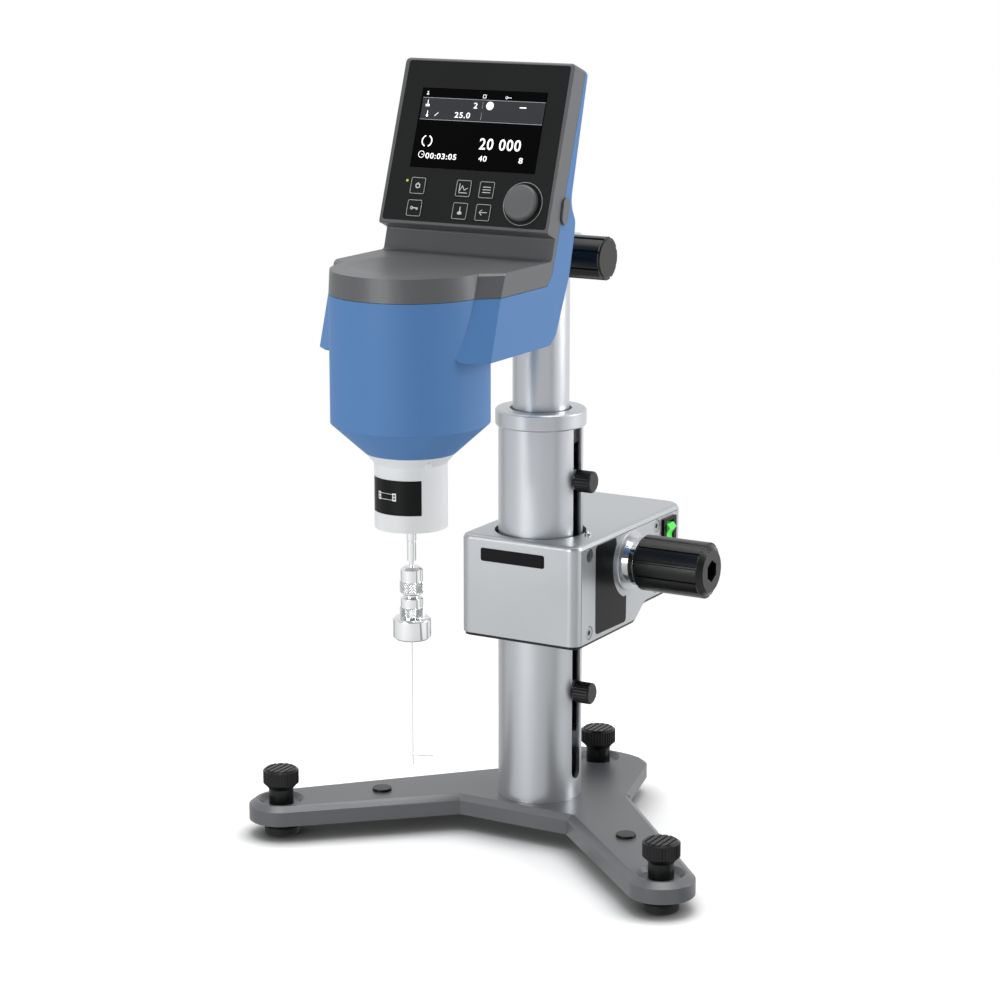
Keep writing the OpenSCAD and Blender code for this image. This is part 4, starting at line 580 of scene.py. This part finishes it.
def scoop_cover(shape):
    """Rounds the hood, and lets a shallow round dish into the flat top over the spindle drive."""
    round_hood(shape)
    dish_r = 50 * mm
    dish_sag = 3.4 * mm
    dish_y = column_y - 160 * mm
    wall = 3 * mm
    ceiling_drop = 2.5 * mm
    lid_z = max(point.co.z for point in shape.verts
                if abs(point.co.x) < 30 * mm and point.co.y < dish_y - 30 * mm)
    for point in shape.verts:
        if abs(point.co.z - (lid_z - wall)) < 0.4 * mm:
            point.co.z -= ceiling_drop
    dish = bmesh.new()
    rings = 14
    outline = [dish.verts.new((dish_r * i / rings, 0, -dish_sag * (1 - (i / rings) ** 2)))
               for i in range(rings + 1)]
    outline.append(dish.verts.new((dish_r, 0, 3 * mm)))
    outline.append(dish.verts.new((0, 0, 3 * mm)))
    lines = [dish.edges.new(pair) for pair in zip(outline, outline[1:])]
    bmesh.ops.spin(dish, geom=outline + lines, cent=(0, 0, 0), axis=(0, 0, 1),
                   angle=math.radians(360), steps=72, use_merge=True)
    bmesh.ops.remove_doubles(dish, verts=dish.verts, dist=1e-7)
    bmesh.ops.recalc_face_normals(dish, faces=dish.faces)
    dish.transform(Matrix.Translation((0, dish_y, lid_z)))
    cutter_mesh = bpy.data.meshes.new("dish cutter")
    dish.to_mesh(cutter_mesh)
    dish.free()
    cutter = bpy.data.objects.new("dish_cutter", cutter_mesh)
    lid_mesh = bpy.data.meshes.new("lid")
    shape.to_mesh(lid_mesh)
    lid = bpy.data.objects.new("lid", lid_mesh)
    for part in (cutter, lid):
        studio.collection.objects.link(part)
    carve = lid.modifiers.new("dish", "BOOLEAN")
    carve.operation = "DIFFERENCE"
    carve.solver = "EXACT"
    carve.object = cutter
    bpy.context.view_layer.update()
    carved = bpy.data.meshes.new_from_object(lid.evaluated_get(
        bpy.context.evaluated_depsgraph_get()))
    shape.clear()
    shape.from_mesh(carved)
    bpy.data.objects.remove(lid)
    bpy.data.objects.remove(cutter)
    for mesh in (cutter_mesh, lid_mesh, carved):
        bpy.data.meshes.remove(mesh)


def round_hood(shape):
    """Rounds the two upper corners of the display hood, as seen square on to the panel."""
    for side in (-1, 1):
        for turn in (15, 30, 45, 60, 75):
            way = Vector((side * math.cos(math.radians(turn)), math.sin(math.radians(turn)), 0))
            middle = Vector((side * (hood_half - hood_round), hood_top - hood_round, 0))
            cut = bmesh.ops.bisect_plane(
                shape, geom=shape.verts[:] + shape.edges[:] + shape.faces[:], dist=1e-7,
                plane_co=panel @ (middle + way * hood_round), plane_no=panel.to_3x3() @ way,
                clear_outer=True)["geom_cut"]
            rim = [part for part in cut if isinstance(part, bmesh.types.BMEdge)]
            bmesh.ops.edgeloop_fill(shape, edges=rim)


finished("head_housing", blue_moulding, edge=0.0012, sharp=24, steps=3, shaped=round_hood)
finished("top_cover", grey_moulding, edge=0.0013, sharp=24, steps=3, shaped=scoop_cover)


def taper_clip(shape):
    """Narrows the clip towards its foot."""
    low_z = min(point.co.z for point in shape.verts)
    high_z = max(point.co.z for point in shape.verts)
    middle = sum(point.co.y for point in shape.verts) / len(shape.verts)
    foot_width = 0.72
    gain = 0.2
    for point in shape.verts:
        share = (point.co.z - low_z) / (high_z - low_z)
        point.co.y = middle + (point.co.y - middle) * (foot_width + gain * share)


finished("side_clip", grey_moulding, edge=0.0004, shaped=taper_clip)
plate_metal = finish("plate aluminium", "A9ACB0", 0.35, mottle=0.06, metallic=0.9)
finished("chassis_plate", plate_metal, edge=0.0003)
finished("drive_motor", motor_paint, edge=0.0005)
finished("drive_cage", plate_metal, edge=0.0003)
finished("torsion_spring", steel, edge=0)
finished("encoder_disc", brass, edge=0)
board = finish("board", "24593B", 0.5, mottle=0.15, patch=60)
finished("circuit_board", board, edge=0)

# The display panel is a black membrane over a metal plate. The screen shows through a window
# in it, and six keys are framed by thin grey lines.
membrane = finish("black membrane", "151617", 0.36, mottle=0.03, grain=3500, relief=0.12,
                  specular=0.25)
screen_glass = finish("screen glass", "020203", 0.1, mottle=0.02, relief=0.02, specular=0.1)
finished("front_panel", membrane, edge=0.0003)
finished("display", screen_glass, edge=0)
print_grey = finish("grey print", "A4A6A8", 0.5, mottle=0.05)
print_white = finish("white print", "DFE1E2", 0.5, mottle=0.03)
lit_white = finish("lit white", "F2F3F4", 0.5, mottle=0.02, glow=0.75)
lit_grey = finish("lit grey", "2C2D31", 0.5, mottle=0.02, glow=0.25, specular=0.2)
lit_line = finish("lit line grey", "8E9093", 0.5, mottle=0.02, glow=0.5, specular=0.2)


class Artwork:
    """Flat shapes for one print, in metres on the panel, raised together into thin relief."""

    def __init__(self):
        self.shape = bmesh.new()

    def bar(self, x, y, width, height, turn=0, cells=1):
        place = Matrix.Translation((x, y, 0)) @ Matrix.Rotation(math.radians(turn), 4, "Z")
        bmesh.ops.create_grid(self.shape, x_segments=cells, y_segments=1, size=0.5,
                              matrix=place @ Matrix.Diagonal((width, height, 1, 1)))

    def line(self, start, end, width):
        step = Vector(end) - Vector(start)
        middle = (Vector(start) + Vector(end)) / 2
        self.bar(middle.x, middle.y, step.length, width, math.degrees(math.atan2(step.y, step.x)))

    def disc(self, x, y, radius):
        bmesh.ops.create_circle(self.shape, cap_ends=True, segments=28, radius=radius,
                                matrix=Matrix.Translation((x, y, 0)))

    def hoop(self, x, y, radius, width, start=0, sweep=360):
        near = self.shape.verts.new((x + radius - width / 2, y, 0))
        far = self.shape.verts.new((x + radius + width / 2, y, 0))
        edge = self.shape.edges.new((near, far))
        spot = Matrix.Translation((x, y, 0))
        turn = spot @ Matrix.Rotation(math.radians(start), 4, "Z") @ spot.inverted()
        bmesh.ops.transform(self.shape, matrix=turn, verts=(near, far))
        steps = max(8, int(abs(sweep) / 7))
        bmesh.ops.spin(self.shape, geom=[near, far, edge], cent=(x, y, 0), axis=(0, 0, 1),
                       angle=math.radians(sweep), steps=steps, use_merge=abs(sweep) >= 360)

    def frame(self, x, y, side, width, radius):
        corners = [self.shape.verts.new((x + sx * side / 2, y + sy * side / 2, 0))
                   for sx, sy in ((-1, -1), (1, -1), (1, 1), (-1, 1))]
        self.shape.faces.new(corners)
        rounded = bmesh.ops.bevel(self.shape, geom=corners, offset=radius, segments=5,
                                  profile=0.5, affect="VERTICES", material=-1,
                                  offset_type="OFFSET")
        whole = [f for f in self.shape.faces if set(f.verts) >= set(rounded["verts"])]
        bmesh.ops.inset_individual(self.shape, faces=whole, thickness=width)
        bmesh.ops.delete(self.shape, geom=whole, context="FACES_ONLY")

    def figures(self, words, left, right, low, high):
        letters = bpy.data.curves.new(words, "FONT")
        letters.body = words
        letters.offset = 0.013
        letters.resolution_u = 4
        letters.space_character = 1.12
        holder = bpy.data.objects.new(words, letters)
        studio.collection.objects.link(holder)
        bpy.context.view_layer.update()
        flat = bpy.data.meshes.new_from_object(holder)
        bpy.data.objects.remove(holder)
        bpy.data.curves.remove(letters)
        xs = [v.co.x for v in flat.vertices]
        ys = [v.co.y for v in flat.vertices]
        scale = Matrix.Diagonal(((right - left) / (max(xs) - min(xs)),
                                 (high - low) / (max(ys) - min(ys)), 1, 1))
        flat.transform(Matrix.Translation((left, low, 0)) @ scale
                       @ Matrix.Translation((-min(xs), -min(ys), 0)))
        self.shape.from_mesh(flat)
        bpy.data.meshes.remove(flat)

    def make(self, name, matrix, material, body, slot, raised=0.00008, sunk=0.00003, round_r=0):
        shape = self.shape
        bmesh.ops.remove_doubles(shape, verts=shape.verts, dist=1e-7)
        bmesh.ops.recalc_face_normals(shape, faces=shape.faces)
        for face in shape.faces:
            if face.normal.z < 0:
                face.normal_flip()
        risen = bmesh.ops.extrude_face_region(shape, geom=shape.faces[:])["geom"]
        bmesh.ops.translate(shape, verts=[v for v in risen if isinstance(v, bmesh.types.BMVert)],
                            vec=(0, 0, raised))
        bmesh.ops.recalc_face_normals(shape, faces=shape.faces)
        if round_r:
            for point in shape.verts:
                turn, out = point.co.x / round_r, round_r + point.co.z
                point.co = (out * math.sin(turn), point.co.y, out * math.cos(turn) - round_r)
        shape.transform(matrix @ Matrix.Translation((0, 0, -sunk)))
        made(name, shape, material, body)


screen_top = Matrix.Translation((0, 0, -0.2 * mm))
band = Artwork()
band.bar(0.3 * mm, 13.1 * mm, 93.4 * mm, 14.8 * mm)
band.make("screen_band", panel @ screen_top, lit_grey, "head", "screen", raised=0.00005)
rules = Artwork()
rules.bar(0.3 * mm, 20.5 * mm, 93.4 * mm, 0.3 * mm)
rules.bar(0.3 * mm, 5.65 * mm, 93.4 * mm, 0.3 * mm)
rules.bar(0.1 * mm, 16.9 * mm, 0.25 * mm, 5.0 * mm)
rules.bar(0.3 * mm, 9.4 * mm, 0.25 * mm, 5.0 * mm)
rules.make("screen_rules", panel @ screen_top, lit_line, "head", "screen")
readings = Artwork()
readings.figures("20 000", 2.6 * mm, 33.9 * mm, -12.9 * mm, -5.2 * mm)
readings.figures("00:03:05", -37.2 * mm, -13.3 * mm, -20.9 * mm, -17.0 * mm)
readings.figures("40", 3.6 * mm, 9.9 * mm, -20.8 * mm, -17.0 * mm)
readings.figures("8", 34.1 * mm, 37.1 * mm, -20.8 * mm, -16.9 * mm)
readings.figures("25.0", -20.0 * mm, -8.2 * mm, 7.6 * mm, 11.5 * mm)
readings.figures("2", -6.6 * mm, -3.7 * mm, 14.5 * mm, 18.4 * mm)
readings.bar(30.8 * mm, 16.4 * mm, 5.0 * mm, 0.7 * mm)
readings.disc(5.7 * mm, 16.7 * mm, 2.8 * mm)
readings.hoop(-37.9 * mm, -9.0 * mm, 3.7 * mm, 0.85 * mm, 110, 140)
readings.hoop(-37.9 * mm, -9.0 * mm, 3.7 * mm, 0.85 * mm, -70, 140)
readings.hoop(-40.5 * mm, -18.2 * mm, 2.2 * mm, 0.4 * mm)
readings.line((-40.5 * mm, -18.2 * mm), (-38.9 * mm, -18.2 * mm), 0.4 * mm)
readings.bar(-42.1 * mm, 17.3 * mm, 0.5 * mm, 3.6 * mm)
readings.bar(-42.1 * mm, 15.3 * mm, 3.0 * mm, 1.5 * mm)
readings.bar(-41.3 * mm, 9.9 * mm, 0.6 * mm, 3.4 * mm)
readings.disc(-41.3 * mm, 8.3 * mm, 0.9 * mm)
readings.line((-35.4 * mm, 8.2 * mm), (-32.8 * mm, 10.6 * mm), 0.4 * mm)
readings.bar(-43.3 * mm, 22.9 * mm, 1.6 * mm, 0.7 * mm)
readings.disc(-43.3 * mm, 24.3 * mm, 0.5 * mm)
readings.hoop(17.4 * mm, 22.7 * mm, 0.75 * mm, 0.3 * mm)
readings.bar(19.6 * mm, 22.7 * mm, 2.9 * mm, 0.35 * mm)
readings.frame(0.6 * mm, 22.9 * mm, 2.4 * mm, 0.3 * mm, 0.3 * mm)
readings.make("screen_readings", panel @ screen_top, lit_white, "head", "screen")

# The keys are squares of the same membrane. A thin grey line frames each one, round a picture
# of what it does: power, lock, graph, menu, spindle and back.
line_w = 0.4 * mm
key_side = 11.3 * mm
key_marks = {}
key_top = Matrix.Translation((0, 0, 0.5 * mm))
for key in ("power_key", "lock_key", "graph_key", "menu_key", "spindle_key", "back_key"):
    finished(key, membrane, edge=0.0002)
    low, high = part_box(key)
    middle = panel.inverted() @ ((low + high) / 2)
    border = Artwork()
    border.frame(middle.x, middle.y, key_side - 0.2 * mm, line_w, 1.1 * mm)
    border.make(key + "_frame", panel @ key_top, print_grey, key, "key_grey")
    key_marks[key] = (Artwork(), middle.x, middle.y)
mark, x, y = key_marks["power_key"]
mark.hoop(x, y, 1.5 * mm, 0.6 * mm, 120, 300)
mark.bar(x, y + 1.5 * mm, 0.6 * mm, 1.7 * mm)
mark, x, y = key_marks["lock_key"]
mark.hoop(x - 1.9 * mm, y, 0.85 * mm, 0.5 * mm)
mark.bar(x + 0.95 * mm, y, 3.7 * mm, 0.5 * mm)
mark.bar(x + 1.75 * mm, y - 0.6 * mm, 0.5 * mm, 1.0 * mm)
mark.bar(x + 2.55 * mm, y - 0.6 * mm, 0.5 * mm, 1.0 * mm)
mark, x, y = key_marks["graph_key"]
mark.bar(x - 3.0 * mm, y, line_w, 6.4 * mm)
mark.bar(x, y - 3.0 * mm, 6.4 * mm, line_w)
mark.line((x - 2.6 * mm, y - 1.6 * mm), (x - 0.9 * mm, y + 1.8 * mm), line_w)
mark.line((x - 0.9 * mm, y + 1.8 * mm), (x + 0.8 * mm, y - 1.2 * mm), line_w)
mark.line((x + 0.8 * mm, y - 1.2 * mm), (x + 3.2 * mm, y + 0.4 * mm), line_w)
mark, x, y = key_marks["menu_key"]
for row in (-1.8, 0, 1.8):
    mark.bar(x, y + row * mm, 6.0 * mm, line_w)
mark, x, y = key_marks["spindle_key"]
mark.bar(x, y + 1.0 * mm, 0.5 * mm, 3.6 * mm)
mark.bar(x, y - 1.5 * mm, 3.2 * mm, 1.5 * mm)
mark.disc(x, y - 1.3 * mm, 1.2 * mm)
mark, x, y = key_marks["back_key"]
mark.bar(x + 0.6 * mm, y, 5.0 * mm, line_w)
mark.line((x - 2.8 * mm, y), (x - 0.9 * mm, y + 1.8 * mm), line_w)
mark.line((x - 2.8 * mm, y), (x - 0.9 * mm, y - 1.8 * mm), line_w)
for key, (mark, x, y) in key_marks.items():
    mark.make(key + "_mark", panel @ key_top, print_white, key, "key_grey")

# The menu knob turns and is pushed to choose. A thin printed ring runs round it on the panel,
# and a small light beside the power key shows that the instrument is on.
knob_grey = finish("knob grey", "5A5B5D", 0.45, mottle=0.05, grain=2400)
finished("menu_knob", knob_grey, edge=0.0003)
ring_print = Artwork()
ring_print.hoop(42.6 * mm, -47.3 * mm, 14.3 * mm, 0.35 * mm)
ring_print.make("menu_ring", panel, print_grey, "head", "gloss_black")
lamp_green = finish("green lamp", "A8B93A", 0.3, mottle=0.02, glow=0.35)
lamp = Artwork()
lamp.disc(-47.7 * mm, -36.5 * mm, 0.9 * mm)
lamp.make("power_lamp", panel, lamp_green, "head", "green_plastic", raised=0.0003)

# The shaft guard is a white moulding that holds the two ball bearings. A black band is stuck
# on its front, and stands a little proud of it.
white_moulding = finish("white moulding", "DFE1E3", 0.3, mottle=0.02, grain=2600, relief=0.12)
finished("shaft_guard", white_moulding, edge=0.0018, sharp=28, steps=3)
finished("spindle_bearings", steel, edge=0)
spindle_y = (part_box("measuring_shaft")[0].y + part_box("measuring_shaft")[1].y) / 2
guard_r = 0.024
band_low = 0.2706
band_high = 0.2936
band_half = 48
band_gap = 0.00002
band_thick = 0.00012
shape = bmesh.new()
start = [shape.verts.new((guard_r + band_gap, 0, z)) for z in (band_low, band_high)]
edge_line = shape.edges.new(start)
bmesh.ops.spin(shape, geom=start + [edge_line], cent=(0, 0, 0), axis=(0, 0, 1),
               angle=math.radians(2 * band_half), steps=24)
bmesh.ops.recalc_face_normals(shape, faces=shape.faces)
outer_skin = shape.faces[:]
for face in outer_skin:
    if face.normal.dot(Vector((face.calc_center_median().x, face.calc_center_median().y, 0))) < 0:
        face.normal_flip()
bmesh.ops.solidify(shape, geom=outer_skin, thickness=-band_thick)
bmesh.ops.recalc_face_normals(shape, faces=shape.faces)
shape.transform(Matrix.Translation((0, spindle_y, 0))
                @ Matrix.Rotation(math.radians(-90 - band_half), 4, "Z"))
for face in shape.faces:
    face.smooth = True
for line in shape.edges:
    line.smooth = line.calc_face_angle(0) < turning_angle
made("guard_band", shape, gloss_black, "head")

# A small white picture of a shaft between two bearings is printed on the band.
bearing_sign = Artwork()
for side in (-1, 1):
    for rise in (-1, 1):
        bearing_sign.bar(side * 6.2 * mm, rise * 2.1 * mm, 2.7 * mm, 1.0 * mm, cells=2)
    bearing_sign.bar(side * 7.2 * mm, 0, 0.7 * mm, 3.2 * mm)
    bearing_sign.bar(side * 5.2 * mm, 0, 0.7 * mm, 3.2 * mm)
    bearing_sign.disc(side * 6.2 * mm, 0, 0.55 * mm)
for rise in (-1, 1):
    bearing_sign.bar(0, rise * 1.9 * mm, 9.8 * mm, 0.3 * mm, cells=10)
sign_r = guard_r + 0.00015
bearing_place = (Matrix.Translation((0, spindle_y, (band_low + band_high) / 2 + 0.0005))
                 @ Matrix.Rotation(math.radians(-10), 4, "Z")
                 @ Matrix.Translation((0, -sign_r, 0))
                 @ Matrix.Rotation(math.radians(90), 4, "X"))
bearing_sign.make("bearing_sign", bearing_place, print_white, "head", "gloss_black",
                  raised=0.00006, round_r=sign_r)

# The measuring shaft, its coupling nut and the T-bar spindle are turned in stainless steel
# and polished.
polished = finish("polished stainless", "E9EBEC", 0.14, mottle=0.04, grain=1500,
                  stretch=(0.05, 0.05, 1), relief=0.08, metallic=1.0)
finished("measuring_shaft", polished, edge=0.0002)
spindle_axis = Vector((0, spindle_y, 0))
grip_r = 7.5 * mm
grip_core = 7.3 * mm
grip_peak = 0.5 * mm
nut_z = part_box("coupling_nut")[0].z
grips = {"coupling_nut": (nut_z + 1.0 * mm, nut_z + 9.0 * mm, 8),
         "t_spindle": (197.2 * mm, 204.6 * mm, 8)}


def turned(node):
    """The node's grip zone turned down to a plain core, which the knurled sleeve covers."""
    low, high = grips[node][:2]
    ribs_from = 7.41 * mm
    ribs_to = 8.2 * mm

    def turn_down(shape):
        for point in shape.verts:
            out = Vector((point.co.x, point.co.y, 0)) - spindle_axis
            if low - 1e-5 <= point.co.z <= high + 1e-5 and ribs_from < out.length < ribs_to:
                out *= grip_core / out.length
                point.co = (out.x + spindle_axis.x, out.y + spindle_axis.y, point.co.z)
        bmesh.ops.remove_doubles(shape, verts=shape.verts, dist=1e-6)
    return turn_down


def knurl(name, node, around=60):
    """A sleeve of pointed diamonds, spun from a closed outline and raised at every other point."""
    low, high, rows = grips[node]
    shape = bmesh.new()
    step = (high - low) / rows
    points = [shape.verts.new((grip_r, 0, low + i * step)) for i in range(rows + 1)]
    points += [shape.verts.new((grip_core - 0.3 * mm, 0, z)) for z in (high, low)]
    outline = [shape.edges.new((points[i], points[(i + 1) % len(points)]))
               for i in range(len(points))]
    bmesh.ops.spin(shape, geom=points + outline, cent=(0, 0, 0), axis=(0, 0, 1),
                   angle=math.radians(360), steps=around, use_merge=True)
    valleys = []
    for point in shape.verts:
        if math.hypot(point.co.x, point.co.y) < grip_core:
            continue
        column = round(math.degrees(math.atan2(point.co.y, point.co.x)) * around / 360)
        row = round((point.co.z - low) / step)
        if (column + row) % 2 == 0 and 0 < row < rows:
            point.co.x *= (grip_r + grip_peak) / grip_r
            point.co.y *= (grip_r + grip_peak) / grip_r
        else:
            valleys.append(point)
    bmesh.ops.connect_verts(shape, verts=valleys)
    bmesh.ops.recalc_face_normals(shape, faces=shape.faces)
    shape.transform(Matrix.Translation(spindle_axis))
    made(name, shape, polished, home[node])


finished("coupling_nut", polished, edge=0.0001, sharp=50, shaped=turned("coupling_nut"))
finished("t_spindle", polished, edge=0.0001, sharp=50, shaped=turned("t_spindle"))
knurl("nut_knurl", "coupling_nut")
knurl("chuck_knurl", "t_spindle")
